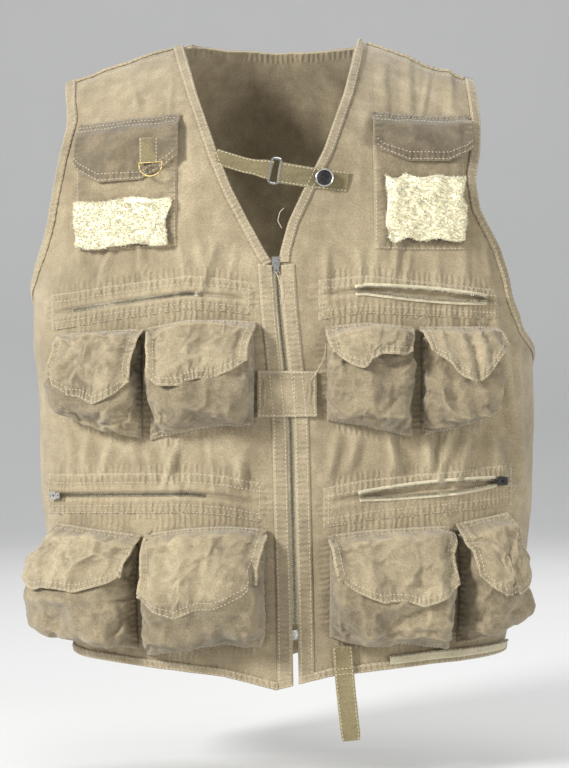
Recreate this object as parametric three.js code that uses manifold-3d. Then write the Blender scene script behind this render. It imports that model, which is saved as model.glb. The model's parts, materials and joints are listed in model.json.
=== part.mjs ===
// A utility work vest of cotton twill: a zipped, sleeveless body that carries two chest pockets, four zipped
// pockets and eight bellows pockets. Lengths are in millimetres, +Z is up and the front faces -Y.
// The origin is the middle of the shoulder line, where the vest sits on its wearer.
// "Right" and "left" are the wearer's, so the right side is at -X.
import * as THREE from 'three';
import { mergeVertices } from 'three/addons/utils/BufferGeometryUtils.js';
import Module from 'manifold-3d';

const wasm = await Module();
wasm.setup();

// Body
const bodyLength = 610;
const halfChest = 235;
const chestDepth = 122;
const backDepth = 106;
const neckHalf = 82;
const neckRise = 40;
const shoulderTip = 200;
const shoulderDrop = 40;
const shoulderRound = 110;
const frontRounding = 0.6;
const foldHeight = 5;

// Cloth and the room between its layers
const cloth = 1.6;
const clearance = 0.3;
const trimRoom = 0.5;
const edgeRoom = 1.5;
const cornerRoom = 4.2;
const seatRoom = 0.95;
const deepSeat = 1.2;
const underarmRoom = 5.2;
const seamGap = 0.5;
const bindingWidth = 9.5;
const bindingCloth = 1.3;
const hemBandWidth = 8;
const seamWidth = 9;

// Front closure
const placketWidth = 15;
const tapeHalf = 11;
const tapeCloth = 0.8;
const pocketTapeHalf = 4.5;
const teethHalf = 2;
const teethRoom = 0.7;
const toothHeight = 0.9;
const sliderWidth = 7.5;
const sliderLength = 9;
const sliderPlate = 2.2;
const bridgeWire = 1.1;
const bridgeSpan = 5.6;
const pullWidth = 5;
const pullLength = 11;
const pullThickness = 1;
const zipBoxLength = 9;
const waistTabHeight = 41;

// Neck strap
const rightStrapWidth = 14;
const leftStrapWidth = 19;
const strapCloth = 2;
const strapSink = 0.8;
const ringWire = 1.1;
const ringHeight = 21;
const ringWidth = 9;
const snapRadius = 7.9;
const snapHeight = 2.6;

// Pockets
const zipPanelRise = 2.4;
const slitHeight = 6.8;
const slitFrom = 0.08;
const slitReach = 20;
const mouthDrop = 12;
const mouthDepth = 17;
const bellyDepth = 34;
const bellySag = 7;
const creaseDepth = 5;
const chestPocketDepth = 10;
const flapPuff = 2;
const flapRoom = 1.7;
const flapTuck = 0.2;
const fleeceDepth = 4.4;
const lockDepth = 1.3;
const ringTabWidth = 17;
const ringTabLength = 22;
const ringTabCloth = 1.2;
const dRingWidth = 22;
const dRingDrop = 13;
const dRingWire = 0.9;

// Loose ends
const hangingStrapWidth = 17.5;
const hangingStrapLength = 88;
const hangingStrapDrift = 8;
const hemZipHeight = 9;

// The rows of the panels, as shares of the way from the top edge (0) to the hem (1).
// Sections of the body there: half and shift are shares of halfChest,
// front of chestDepth and back of backDepth; line is where the front opens, as a share of halfChest.
const panelRows = [0, 0.04, 0.08, 0.14, 0.19, 0.24, 0.3, 0.345, 0.36, 0.38, 0.43, 0.46, 0.475,
  0.55, 0.63, 0.7,
  0.8, 0.9, 1];
const sections = [
  { down: 0.0, half: 1.0, shift: 0.0, front: 0.5, back: 0.62, line: 0.0 },
  { down: 0.1, half: 1.0, shift: 0.0, front: 0.68, back: 0.82, line: 0.0 },
  { down: 0.2, half: 1.0, shift: 0.0, front: 0.86, back: 1.0, line: 0.0 },
  { down: 0.36, half: 0.995, shift: 0.006, front: 0.98, back: 0.98, line: -0.002 },
  { down: 0.44, half: 1.005, shift: 0.02, front: 1.0, back: 0.94, line: 0.012 },
  { down: 0.52, half: 1.005, shift: 0.03, front: 1.0, back: 0.92, line: 0.034 },
  { down: 0.6, half: 1.0, shift: 0.034, front: 0.99, back: 0.9, line: 0.054 },
  { down: 0.74, half: 0.995, shift: 0.036, front: 0.98, back: 0.92, line: 0.062 },
  { down: 0.86, half: 0.95, shift: 0.042, front: 0.97, back: 0.96, line: 0.07 },
  { down: 1.0, half: 0.86, shift: 0.05, front: 0.93, back: 1.0, line: 0.076 },
];

// Height of the hem, as a share of bodyLength, by the distance from the middle as a share of halfChest.
const hemLine = [
  { across: 0.0, height: -0.998 },
  { across: 0.2, height: -0.978 },
  { across: 0.6, height: -0.962 },
  { across: 1.0, height: -0.95 },
];

// The neck edge, from the shoulder to the foot of the V, as shares of halfChest from the middle.
const neckEdge = [
  { down: 0.0, right: 0.385, left: 0.325 },
  { down: 0.1, right: 0.315, left: 0.264 },
  { down: 0.19, right: 0.236, left: 0.185 },
  { down: 0.25, right: 0.175, left: 0.106 },
  { down: 0.3, right: 0.108, left: 0.045 },
  { down: 0.345, right: 0.043, left: 0.013 },
  { down: 0.36, right: 0.014, left: 0.01 },
];
const neckFoot = 0.36;

// The armhole edge of the front and back panels, as shares of halfChest; 1 is the side seam.
const armEdge = [
  { down: 0.0, frontRight: 0.864, frontLeft: 0.809, backRight: 0.864, backLeft: 0.809 },
  { down: 0.08, frontRight: 0.838, frontLeft: 0.817, backRight: 0.89, backLeft: 0.83 },
  { down: 0.14, frontRight: 0.868, frontLeft: 0.806, backRight: 0.885, backLeft: 0.82 },
  { down: 0.19, frontRight: 0.886, frontLeft: 0.783, backRight: 0.88, backLeft: 0.82 },
  { down: 0.24, frontRight: 0.903, frontLeft: 0.8, backRight: 0.9, backLeft: 0.83 },
  { down: 0.3, frontRight: 0.945, frontLeft: 0.885, backRight: 0.94, backLeft: 0.89 },
  { down: 0.35, frontRight: 0.982, frontLeft: 0.918, backRight: 0.98, backLeft: 0.94 },
  { down: 0.38, frontRight: 1.0, frontLeft: 0.932, backRight: 1.0, backLeft: 0.97 },
  { down: 0.46, frontRight: 1.0, frontLeft: 0.994, backRight: 1.0, backLeft: 0.994 },
  { down: 0.475, frontRight: 1.0, frontLeft: 1.0, backRight: 1.0, backLeft: 1.0 },
];
const armFoot = { right: 0.38, left: 0.475 };

// Soft standing folds of the body: where each runs (shares of halfChest and of the way down), how wide it is
// (share of halfChest) and how high (share of foldHeight).
const folds = [
  { across: -0.62, top: 0.02, low: 0.16, wide: 0.1, rise: 0.6 },
  { across: -0.5, top: 0.34, low: 0.41, wide: 0.1, rise: 0.5 },
  { across: -0.22, top: 0.33, low: 0.41, wide: 0.1, rise: 0.5 },
  { across: -0.66, top: 0.63, low: 0.7, wide: 0.1, rise: 0.6 },
  { across: -0.36, top: 0.63, low: 0.7, wide: 0.1, rise: 0.7 },
  { across: -0.14, top: 0.63, low: 0.7, wide: 0.1, rise: 0.5 },
  { across: 0.6, top: 0.02, low: 0.16, wide: 0.1, rise: 0.6 },
  { across: 0.34, top: 0.32, low: 0.4, wide: 0.1, rise: 0.5 },
  { across: 0.62, top: 0.32, low: 0.4, wide: 0.1, rise: 0.6 },
  { across: 0.3, top: 0.62, low: 0.7, wide: 0.1, rise: 0.6 },
  { across: 0.56, top: 0.62, low: 0.69, wide: 0.1, rise: 0.7 },
  { across: 0.8, top: 0.5, low: 0.66, wide: 0.1, rise: 0.6 },
];

// Zipped panels. inner and outer are shares of halfChest from the middle, the heights are shares of
// bodyLength.
const zipPanels = [
  { side: 'right', level: 'middle', inner: 0.094, outer: 0.885, topIn: 0.39, topOut: 0.405,
    lowIn: 0.434, lowOut: 0.455 },
  { side: 'left', level: 'middle', inner: 0.17, outer: 0.862, topIn: 0.387, topOut: 0.398,
    lowIn: 0.441, lowOut: 0.439 },
  { side: 'right', level: 'lower', inner: 0.052, outer: 0.91, topIn: 0.69, topOut: 0.68,
    lowIn: 0.744, lowOut: 0.736 },
  { side: 'left', level: 'lower', inner: 0.19, outer: 0.925, topIn: 0.697, topOut: 0.663,
    lowIn: 0.752, lowOut: 0.72 },
];

// Bellows pockets. top is the line where the flap is sewn, low the foot of the bag; flap is the flap's
// length as a
// share of the way from top to low, and lean its sideways spread there as a share of the pocket's width.
const bellows = [
  { name: 'right_middle_inner', inner: 0.088, outer: 0.49, topIn: 0.446, topOut: 0.454,
    lowIn: 0.6, lowOut: 0.624, flap: 0.62, seat: 0 },
  { name: 'right_middle_outer', inner: 0.52, outer: 0.835, topIn: 0.456, topOut: 0.462,
    lowIn: 0.622, lowOut: 0.58, flap: 0.8, seat: 0 },
  { name: 'left_middle_inner', inner: 0.195, outer: 0.525, topIn: 0.453, topOut: 0.453,
    lowIn: 0.594, lowOut: 0.62, flap: 0.52, seat: 0 },
  { name: 'left_middle_outer', inner: 0.56, outer: 0.835, topIn: 0.453, topOut: 0.452,
    lowIn: 0.618, lowOut: 0.588, flap: 0.56, seat: 0 },
  { name: 'right_lower_inner', inner: 0.045, outer: 0.5, topIn: 0.755, topOut: 0.763,
    lowIn: 0.93, lowOut: 0.948, flap: 0.72, seat: 0 },
  { name: 'right_lower_outer', inner: 0.532, outer: 0.86, topIn: 0.765, topOut: 0.75,
    lowIn: 0.938, lowOut: 0.9, flap: 0.6, seat: 1 },
  { name: 'left_lower_inner', inner: 0.205, outer: 0.665, topIn: 0.764, topOut: 0.752,
    lowIn: 0.918, lowOut: 0.94, flap: 0.66, seat: 0 },
  { name: 'left_lower_outer', inner: 0.7, outer: 0.9, topIn: 0.748, topOut: 0.734,
    lowIn: 0.93, lowOut: 0.892, flap: 0.64, seat: 0 },
];

// Chest pockets, with the fleece patch on each as shares of the pocket's own width and height.
const chestPockets = [
  { side: 'right', inner: 0.385, outer: 0.78, topIn: 0.136, topOut: 0.146,
    lowIn: 0.334, lowOut: 0.338, flap: 0.48,
    flapOut: 1.02, fleeceIn: 0.06, fleeceOut: 0.98, fleeceTop: 0.62, fleeceLow: 0.985 },
  { side: 'left', inner: 0.38, outer: 0.735, topIn: 0.132, topOut: 0.132,
    lowIn: 0.338, lowOut: 0.338, flap: 0.36,
    flapOut: 1.11, fleeceIn: 0.12, fleeceOut: 0.97, fleeceTop: 0.46, fleeceLow: 0.93 },
];

// How far a bag stands out, across it and down it, as shares of its depth.
const bagAcross = [
  { across: 0.0, out: 0.0 },
  { across: 0.02, out: 0.5 },
  { across: 0.09, out: 0.9 },
  { across: 0.28, out: 1.0 },
  { across: 0.5, out: 0.95 },
  { across: 0.72, out: 1.0 },
  { across: 0.91, out: 0.9 },
  { across: 0.98, out: 0.5 },
  { across: 1.0, out: 0.0 },
];
const bellyAt = 0.6;
const bagDown = [
  { down: 0.0, out: 0.0 },
  { down: 0.3, out: 0.62 },
  { down: 0.6, out: 1.0 },
  { down: 0.82, out: 0.95 },
  { down: 0.95, out: 0.6 },
  { down: 1.0, out: 0.0 },
];
// A flat patch pocket across.
const patchAcross = [
  { across: 0.0, out: 0.0 },
  { across: 0.03, out: 0.8 },
  { across: 0.08, out: 1.0 },
  { across: 0.5, out: 1.0 },
  { across: 0.92, out: 1.0 },
  { across: 0.97, out: 0.8 },
  { across: 1.0, out: 0.0 },
];
// A flap from its sewn line: how far it has risen over the bag's mouth.
const flapDown = [
  { down: 0.0, out: 0.0 },
  { down: 0.06, out: 0.6 },
  { down: 0.14, out: 1.0 },
  { down: 1.0, out: 1.0 },
];
// The lower outline of a flap: cut corners.
const flapOutline = [
  { across: 0.0, length: 0.68 },
  { across: 0.06, length: 0.76 },
  { across: 0.3, length: 0.99 },
  { across: 0.7, length: 1.0 },
  { across: 0.94, length: 0.78 },
  { across: 1.0, length: 0.7 },
];

const twill = { color: 0xa5946f, roughness: 0.95, metalness: 0 };
const flapTwill = { color: 0x8d7c5a, roughness: 0.95, metalness: 0 };
const oliveTwill = { color: 0x7b6f48, roughness: 0.95, metalness: 0 };
const binding = { color: 0xb3a27c, roughness: 0.95, metalness: 0 };
const creamTape = { color: 0xd8ceb0, roughness: 0.9, metalness: 0 };
const fleece = { color: 0xece3bd, roughness: 1, metalness: 0 };
const brass = { color: 0xa88a4c, roughness: 0.35, metalness: 1 };
const steel = { color: 0xb9b8b4, roughness: 0.3, metalness: 1 };
const darkSteel = { color: 0x3b3a39, roughness: 0.35, metalness: 0.9 };

const { lerp, clamp } = THREE.MathUtils;
const vest = new THREE.Group();
const sideTurn = Math.PI / 2;

// The columns of the panels, as shares of their width. The back's meet the neck corners at the top edge.
const frontColumns = spread(0, 1, 9);
const backSpan = armTurn(1, 'left', 0) - armTurn(1, 'right', 0);
const rightCorner = (neckTurn('right', 0) - armTurn(1, 'right', 0)) / backSpan;
const leftCorner = (neckTurn('left', 0) - armTurn(1, 'right', 0)) / backSpan;
const neckColumns = spread(rightCorner, leftCorner, 6);
const backColumns = [...spread(0, rightCorner, 4).slice(0, -1), ...neckColumns,
  ...spread(leftCorner, 1, 4).slice(1)];

function backTurn(u, down) {
  return lerp(armTurn(1, 'right', down), armTurn(1, 'left', down), u);
}

// The value of a column at a place along a table, straight between its rows.
function read(table, key, at, column) {
  const last = table.length - 1;
  if (at <= table[0][key]) return table[0][column];
  if (at >= table[last][key]) return table[last][column];
  let row = 0;
  while (at > table[row + 1][key]) row += 1;
  const share = (at - table[row][key]) / (table[row + 1][key] - table[row][key]);
  return lerp(table[row][column], table[row + 1][column], share);
}

// The top of the shoulders over x, the panels' top edge there and the hem below it.
function ridge(x) {
  const away = Math.abs(x);
  if (away < neckHalf) return neckRise * (1 - away / neckHalf);
  return (-shoulderDrop * (away - neckHalf)) / (shoulderTip - neckHalf);
}

function topHeight(x) {
  return Math.min(ridge(x), clearance);
}

function hemHeight(x) {
  return bodyLength * read(hemLine, 'across', Math.abs(x) / halfChest, 'height');
}

// Where x (a share of halfChest) and a height (a share of bodyLength) lie on the body.
function spot(xShare, heightShare) {
  const x = xShare * halfChest;
  const top = topHeight(x);
  const down = (top + heightShare * bodyLength) / (top - hemHeight(x));
  return { turn: turnAt(x, down), down };
}

function turnAt(x, down) {
  const half = halfChest * read(sections, 'down', down, 'half');
  const shift = halfChest * read(sections, 'down', down, 'shift');
  return Math.asin(clamp((x - shift) / half, -1, 1));
}

function foldRise(x, down) {
  let rise = 0;
  for (const fold of folds) {
    const away = (x - fold.across * halfChest) / (fold.wide * halfChest);
    const along = (down - fold.top) / (fold.low - fold.top);
    if (Math.abs(away) < 1 && along > 0 && along < 1) {
      rise += fold.rise * foldHeight * Math.cos((away * Math.PI) / 2) ** 2 * Math.sin(along * Math.PI);
    }
  }
  return rise;
}

// The inner face at one row. face is -1 on the front and 1 on the back, turn runs from side seam to
// side seam.
function rowPoint(face, turn, down) {
  const half = halfChest * read(sections, 'down', down, 'half');
  const shift = halfChest * read(sections, 'down', down, 'shift');
  const x = shift + half * Math.sin(turn);
  const z = lerp(topHeight(x), hemHeight(x), down);
  const fall = Math.max(0, 1 - (ridge(x) - z) / shoulderRound);
  const rounding = Math.sqrt(Math.max(0, 1 - fall * fall));
  const column = face < 0 ? 'front' : 'back';
  const middle = (face < 0 ? chestDepth : backDepth) * read(sections, 'down', down, column);
  const depth = middle * Math.max(0, Math.cos(turn)) ** frontRounding * rounding;
  const fold = face < 0 ? foldRise(x, down) * Math.cos(turn) : 0;
  return new THREE.Vector3(x, face * (seamGap / 2 + depth + fold), z);
}

// The turns of the columns of the panel that is there at one row, in rising order.
const columnTurns = new Map();
function turnsAt(face, turn, down) {
  const side = turn < turnAt(frontLine(down), down) ? 'right' : 'left';
  const key = `${face} ${face < 0 ? side : 'back'} ${down}`;
  if (!columnTurns.has(key)) {
    const turns = face < 0
      ? frontColumns.map((u) => lerp(neckTurn(side, down), armTurn(-1, side, down), u))
      : backColumns.map((u) => backTurn(u, down));
    columnTurns.set(key, turns.sort((a, b) => a - b));
  }
  return columnTurns.get(key);
}

// A point of a row, straight between the columns beside it.
function rowSpot(face, turn, down) {
  const turns = turnsAt(face, turn, down);
  if (turn <= turns[0] || turn >= turns[turns.length - 1]) return rowPoint(face, turn, down);
  let column = 0;
  while (turn > turns[column + 1]) column += 1;
  const share = (turn - turns[column]) / (turns[column + 1] - turns[column]);
  return rowPoint(face, turns[column], down).lerp(rowPoint(face, turns[column + 1], down), share);
}

// The body's inner face, straight from each row of the panels to the next.
function bare(face, turn, down) {
  let row = 0;
  while (row < panelRows.length - 2 && down > panelRows[row + 1]) row += 1;
  const share = (down - panelRows[row]) / (panelRows[row + 1] - panelRows[row]);
  return rowSpot(face, turn, panelRows[row]).lerp(rowSpot(face, turn, panelRows[row + 1]), share);
}

// The two directions along the body and the one out of it.
function axesAt(face, turn, down) {
  const turnStep = 0.02;
  const downStep = 0.008;
  const turnLow = Math.max(turn - turnStep, -Math.PI / 2);
  const turnHigh = Math.min(turn + turnStep, Math.PI / 2);
  const downLow = Math.max(down - downStep, 0);
  const downHigh = Math.min(down + downStep, 1);
  const across = bare(face, turnHigh, down).sub(bare(face, turnLow, down)).divideScalar(turnHigh - turnLow);
  const along = bare(face, turn, downHigh).sub(bare(face, turn, downLow)).divideScalar(downHigh - downLow);
  const out = new THREE.Vector3().crossVectors(along, across).normalize().multiplyScalar(-face);
  return { across, along, out };
}

// A point over the body: at a lift off its inner face, and moved dx across and dz down along it.
function skin(face, at, lift, dx = 0, dz = 0) {
  let { turn, down } = at;
  if (dx !== 0 || dz !== 0) {
    const { across, along } = axesAt(face, turn, down);
    turn = clamp(turn + dx / across.length(), -Math.PI / 2, Math.PI / 2);
    down = Math.max(0, down + dz / along.length());
  }
  const { out } = axesAt(face, turn, down);
  return bare(face, turn, down).addScaledVector(out, lift);
}

function between(a, b, share) {
  return { turn: lerp(a.turn, b.turn, share), down: lerp(a.down, b.down, share) };
}

// A patch of the front given by its four corners; u runs outwards and w down.
function patch(side, row, topShift = 0) {
  const sign = side === 'right' ? -1 : 1;
  const drop = topShift / bodyLength;
  const corners = [
    spot(sign * row.inner, row.topIn + drop),
    spot(sign * row.outer, row.topOut + drop),
    spot(sign * row.inner, row.lowIn),
    spot(sign * row.outer, row.lowOut),
  ];
  return (u, w) => between(between(corners[0], corners[1], u), between(corners[2], corners[3], u), w);
}

// A solid from points and faces, turned so that its faces point outwards.
function solid(points, faces) {
  let volume = 0;
  for (const [a, b, c] of faces) {
    volume += points[a].dot(new THREE.Vector3().crossVectors(points[b], points[c]));
  }
  const index = faces.flatMap(([a, b, c]) => (volume < 0 ? [a, c, b] : [a, b, c]));
  const geometry = new THREE.BufferGeometry();
  geometry.setAttribute('position', new THREE.Float32BufferAttribute(points.flatMap((p) => p.toArray()), 3));
  geometry.setIndex(index);
  geometry.computeVertexNormals();
  return geometry;
}

// A sheet with a wall: outer and inner are rows of points of the same size, and its quads are split along the
// diagonal that stands out more. In a closed sheet the last row meets the first.
function sheet(outer, inner, closed = false) {
  const rows = outer.length;
  const columns = outer[0].length;
  const points = [...outer.flat(), ...inner.flat()];
  const under = rows * columns;
  const faces = [];
  const quad = (a, b, c, d) => faces.push([a, b, c], [a, c, d]);
  for (let i = 0; i < (closed ? rows : rows - 1); i += 1) {
    const below = (i + 1) % rows;
    for (let j = 0; j < columns - 1; j += 1) {
      const [a, b] = [i * columns + j, i * columns + j + 1];
      const [c, d] = [below * columns + j + 1, below * columns + j];
      const out = new THREE.Vector3().subVectors(points[a], points[under + a]);
      const first = new THREE.Vector3().addVectors(points[a], points[c]).dot(out);
      const second = new THREE.Vector3().addVectors(points[b], points[d]).dot(out);
      if (first >= second) {
        quad(a, b, c, d);
        quad(under + a, under + d, under + c, under + b);
      } else {
        quad(b, c, d, a);
        quad(under + b, under + a, under + d, under + c);
      }
    }
    const left = i * columns;
    const right = left + columns - 1;
    const leftBelow = below * columns;
    const rightBelow = leftBelow + columns - 1;
    quad(left, leftBelow, under + leftBelow, under + left);
    quad(right, under + right, under + rightBelow, rightBelow);
  }
  for (let j = 0; j < columns - 1 && !closed; j += 1) {
    const end = (rows - 1) * columns + j;
    quad(j, under + j, under + j + 1, j + 1);
    quad(end, end + 1, under + end + 1, under + end);
  }
  return solid(points, faces);
}

// A sheet whose points come from a function of u, w and the layer (0 inner, 1 outer).
function layeredSheet(us, ws, place) {
  const layer = (top) => ws.map((w) => us.map((u) => place(u, w, top)));
  return sheet(layer(1), layer(0));
}

// A sheet given by its outer face alone, with an even wall under it.
function walledSheet(outer, wall) {
  const inner = outer.map((row, i) => row.map((point, j) => {
    const before = outer[Math.max(i - 1, 0)][j];
    const after = outer[Math.min(i + 1, outer.length - 1)][j];
    const left = row[Math.max(j - 1, 0)];
    const right = row[Math.min(j + 1, row.length - 1)];
    const down = new THREE.Vector3().subVectors(after, before);
    const across = new THREE.Vector3().subVectors(right, left);
    const out = new THREE.Vector3().crossVectors(down, across).normalize();
    if (out.y > 0) out.negate();
    return point.clone().addScaledVector(out, -wall);
  }));
  return sheet(outer, inner);
}

// A bar through a row of sections, each a ring of the same number of points.
function loft(rings, closed = false) {
  const count = rings[0].length;
  const points = rings.flat();
  const faces = [];
  const spans = closed ? rings.length : rings.length - 1;
  for (let i = 0; i < spans; i += 1) {
    const here = i * count;
    const next = ((i + 1) % rings.length) * count;
    for (let j = 0; j < count; j += 1) {
      const k = (j + 1) % count;
      faces.push([here + j, here + k, next + k], [here + j, next + k, next + j]);
    }
  }
  if (!closed) {
    const end = (rings.length - 1) * count;
    for (const [a, b, c] of capFaces(rings[0])) {
      faces.push([a, c, b], [end + a, end + b, end + c]);
    }
  }
  return solid(points, faces);
}

function capFaces(ring) {
  const origin = ring[0];
  const across = new THREE.Vector3().subVectors(ring[1], origin).normalize();
  const out = new THREE.Vector3();
  for (let k = 1; k < ring.length - 1; k += 1) {
    const a = new THREE.Vector3().subVectors(ring[k], origin);
    const b = new THREE.Vector3().subVectors(ring[k + 1], origin);
    out.add(a.cross(b));
  }
  const up = new THREE.Vector3().crossVectors(out.normalize(), across);
  const flat = ring.map((p) => {
    const from = new THREE.Vector3().subVectors(p, origin);
    return new THREE.Vector2(from.dot(across), from.dot(up));
  });
  return THREE.ShapeUtils.triangulateShape(flat, []);
}

// A flat strip on the body along stations of an edge. Its width lies at a right angle to the edge, on
// the side that
// inwards (1 or -1) gives.
function edgeStrip(stations, width, inwards, closed = false) {
  const last = stations.length - 1;
  const rows = stations.map((station, i) => {
    const before = stations[closed ? (i + last) % (last + 1) : Math.max(i - 1, 0)];
    const after = stations[closed ? (i + 1) % (last + 1) : Math.min(i + 1, last)];
    const run = bare(after.face, after.turn, after.down)
      .sub(bare(before.face, before.turn, before.down)).normalize();
    const { across, along, out } = axesAt(station.face, station.turn, station.down);
    const aside = new THREE.Vector3().crossVectors(run, out).normalize().multiplyScalar(inwards * width);
    const dx = aside.dot(across.normalize());
    const dz = aside.dot(along.normalize());
    const lift = cloth + (station.room ?? edgeRoom);
    return [lift, lift + bindingCloth].map((height) => [
      skin(station.face, station, height),
      skin(station.face, station, height, dx, dz),
    ]);
  });
  return sheet(rows.map((row) => row[1]), rows.map((row) => row[0]), closed);
}

function add(name, geometry, look, parent = vest) {
  const mesh = new THREE.Mesh(geometry, new THREE.MeshStandardMaterial(look));
  mesh.name = name;
  parent.add(mesh);
  return mesh;
}

// Joins and cuts of closed shapes.
function body(geometry) {
  const bare = geometry.clone();
  bare.deleteAttribute('normal');
  bare.deleteAttribute('uv');
  const welded = mergeVertices(bare, 1e-4);
  return new wasm.Manifold(new wasm.Mesh({
    numProp: 3,
    vertProperties: new Float32Array(welded.attributes.position.array),
    triVerts: new Uint32Array(welded.index.array),
  }));
}

function shape(manifold) {
  const mesh = manifold.getMesh();
  const geometry = new THREE.BufferGeometry();
  geometry.setAttribute('position', new THREE.BufferAttribute(mesh.vertProperties, 3));
  geometry.setIndex(new THREE.BufferAttribute(mesh.triVerts, 1));
  geometry.computeVertexNormals();
  return geometry;
}

function joined(...geometries) {
  return shape(geometries.map(body).reduce((whole, next) => whole.add(next)));
}

function box(width, depth, height, x = 0, y = 0, z = 0) {
  return new THREE.BoxGeometry(width, depth, height).translate(x, y, z);
}

function spread(from, to, count) {
  return Array.from({ length: count + 1 }, (_, i) => lerp(from, to, i / count));
}

// Body panels

function frontLine(down) {
  return halfChest * read(sections, 'down', down, 'line');
}

function edgeTurn(sign, share, down) {
  return share >= 1 ? sign * sideTurn : turnAt(sign * share * halfChest, down);
}

function neckTurn(side, down) {
  const sign = side === 'right' ? -1 : 1;
  if (down < neckFoot) return turnAt(sign * halfChest * read(neckEdge, 'down', down, side), down);
  return turnAt(frontLine(down) + sign * (teethHalf + teethRoom), down);
}

function armTurn(face, side, down) {
  const sign = side === 'right' ? -1 : 1;
  const column = `${face < 0 ? 'front' : 'back'}${side === 'right' ? 'Right' : 'Left'}`;
  return edgeTurn(sign, read(armEdge, 'down', down, column), down);
}

function frontPanel(side) {
  return layeredSheet(frontColumns, panelRows, (u, down, top) => {
    const turn = lerp(neckTurn(side, down), armTurn(-1, side, down), u);
    return skin(-1, { turn, down }, top * cloth);
  });
}

add('right_front_panel', frontPanel('right'), twill);
add('left_front_panel', frontPanel('left'), twill);

add('back_panel', layeredSheet(backColumns, panelRows, (u, down, top) => {
  return skin(1, { turn: backTurn(u, down), down }, top * cloth);
}), twill);

// Seams and bindings, which lie on the panels
const trimLift = cloth + trimRoom;
const seatLift = cloth + seatRoom;

for (const side of ['right', 'left']) {
  const sign = side === 'right' ? -1 : 1;
  const column = side === 'right' ? 'frontRight' : 'frontLeft';
  const inner = neckEdge[0][side] * halfChest + bindingWidth + clearance;
  const outer = armEdge[0][column] * halfChest - bindingWidth - 2 * clearance;
  const stations = spread(inner, outer, 6).map((x) => ({
    face: -1, turn: turnAt(sign * x, 0), down: 0, room: seatRoom,
  }));
  add(`${side}_shoulder_seam`, edgeStrip(stations, seamWidth, sign), binding);
}

// Up the right front's edge, behind the neck and down the left front's edge
function neckStations() {
  const rows = panelRows.filter((down) => down < neckFoot);
  const front = (side) => rows.map((down) => ({ face: -1, turn: neckTurn(side, down), down }));
  const behind = neckColumns.map((u) => ({ face: 1, turn: backTurn(u, 0), down: 0, room: cornerRoom }));
  return [...front('right').reverse(), ...behind, ...front('left')];
}
add('neck_binding', edgeStrip(neckStations(), bindingWidth, -1), binding);

// Down the front of the armhole, under the arm and up its back
function armStations(side) {
  const rows = panelRows.filter((down) => down < armFoot[side]);
  const room = (down) => lerp(edgeRoom, underarmRoom, clamp(1 - (armFoot[side] - down) / 0.06, 0, 1));
  const half = (face) => rows.map((down) => ({
    face, turn: armTurn(face, side, down), down, room: room(down),
  }));
  const turn = (side === 'right' ? -1 : 1) * sideTurn;
  const foot = { face: -1, turn, down: armFoot[side], room: underarmRoom };
  return [...half(-1), foot, ...half(1).reverse()];
}
add('right_armhole_binding', edgeStrip(armStations('right'), bindingWidth, -1, true), binding);
add('left_armhole_binding', edgeStrip(armStations('left'), bindingWidth, 1, true), binding);

// Round the hem from the right placket to the left one
function hemStations() {
  const front = (side) => {
    const sign = side === 'right' ? -1 : 1;
    const line = turnAt(frontLine(1), 1);
    const { across } = axesAt(-1, line, 1);
    const start = line + (sign * (placketWidth + 3 * clearance)) / across.length();
    const columns = frontColumns.map((u) => lerp(neckTurn(side, 1), sign * sideTurn, u));
    return [start, ...columns.filter((turn) => sign * (turn - start) > 0)]
      .map((turn) => ({ face: -1, turn, down: 1 }));
  };
  const behind = backColumns.slice(1, -1).map((u) => ({ face: 1, turn: backTurn(u, 1), down: 1 }));
  return [...front('right'), ...behind, ...front('left').reverse()];
}
add('hem_band', edgeStrip(hemStations(), hemBandWidth, 1), binding);

// Front closure
const closureRows = spread(neckFoot + 0.012, 1, 20);

function lineSpot(down) {
  return { turn: turnAt(frontLine(down), down), down };
}

// A bar that follows the front line, with a section of dx and lift pairs.
function lineBar(downs, section) {
  return loft(downs.map((down, i) => section(i).map(([dx, lift]) => skin(-1, lineSpot(down), lift, dx))));
}

const zipRows = spread(neckFoot + 0.006, 1 - zipBoxLength / bodyLength - 0.07, 24);
const tapeTop = -2 * clearance;
add('front_zip', lineBar(zipRows, (i) => {
  const tooth = cloth - (i % 2) * toothHeight;
  return [
    [-tapeHalf, tapeTop - tapeCloth], [tapeHalf, tapeTop - tapeCloth], [tapeHalf, tapeTop],
    [teethHalf, tapeTop], [teethHalf, tooth], [-teethHalf, tooth], [-teethHalf, tapeTop],
    [-tapeHalf, tapeTop],
  ];
}), creamTape);

for (const side of ['right', 'left']) {
  const sign = side === 'right' ? -1 : 1;
  const near = sign * clearance;
  const far = sign * (clearance + placketWidth);
  add(`${side}_placket`, lineBar(closureRows, () => [
    [near, trimLift], [far, trimLift], [far, trimLift + cloth], [near, trimLift + cloth],
  ]), twill);
}

const zipEnd = zipRows[zipRows.length - 1];
const boxRows = spread(zipEnd + clearance / bodyLength, zipEnd + zipBoxLength / bodyLength, 1);
add('front_zip_box', lineBar(boxRows, () => {
  const half = teethHalf + teethRoom - clearance;
  return [[-half, -cloth], [half, -cloth], [half, cloth], [-half, cloth]];
}), steel);

const tabLift = trimLift + cloth + clearance;
add('waist_tab', layeredSheet(spread(0, 1, 8), spread(0, 1, 4), (u, w, top) => {
  const rise = 1.2 * Math.sin(u * Math.PI * 3) * Math.sin(w * Math.PI);
  const at = spot(lerp(-0.078, 0.16, u), 0.52 + (w * waistTabHeight) / bodyLength + 0.006 * u);
  return skin(-1, at, tabLift + Math.abs(rise) + top * cloth);
}), twill);

// Zip sliders: a plate with a bridge, and a pull whose bar turns under the bridge. In a slider's own
// frame x runs
// across the bridge, z along the zip and -y out of the cloth.
const bridgeClear = pullThickness + 2 * clearance;

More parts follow.
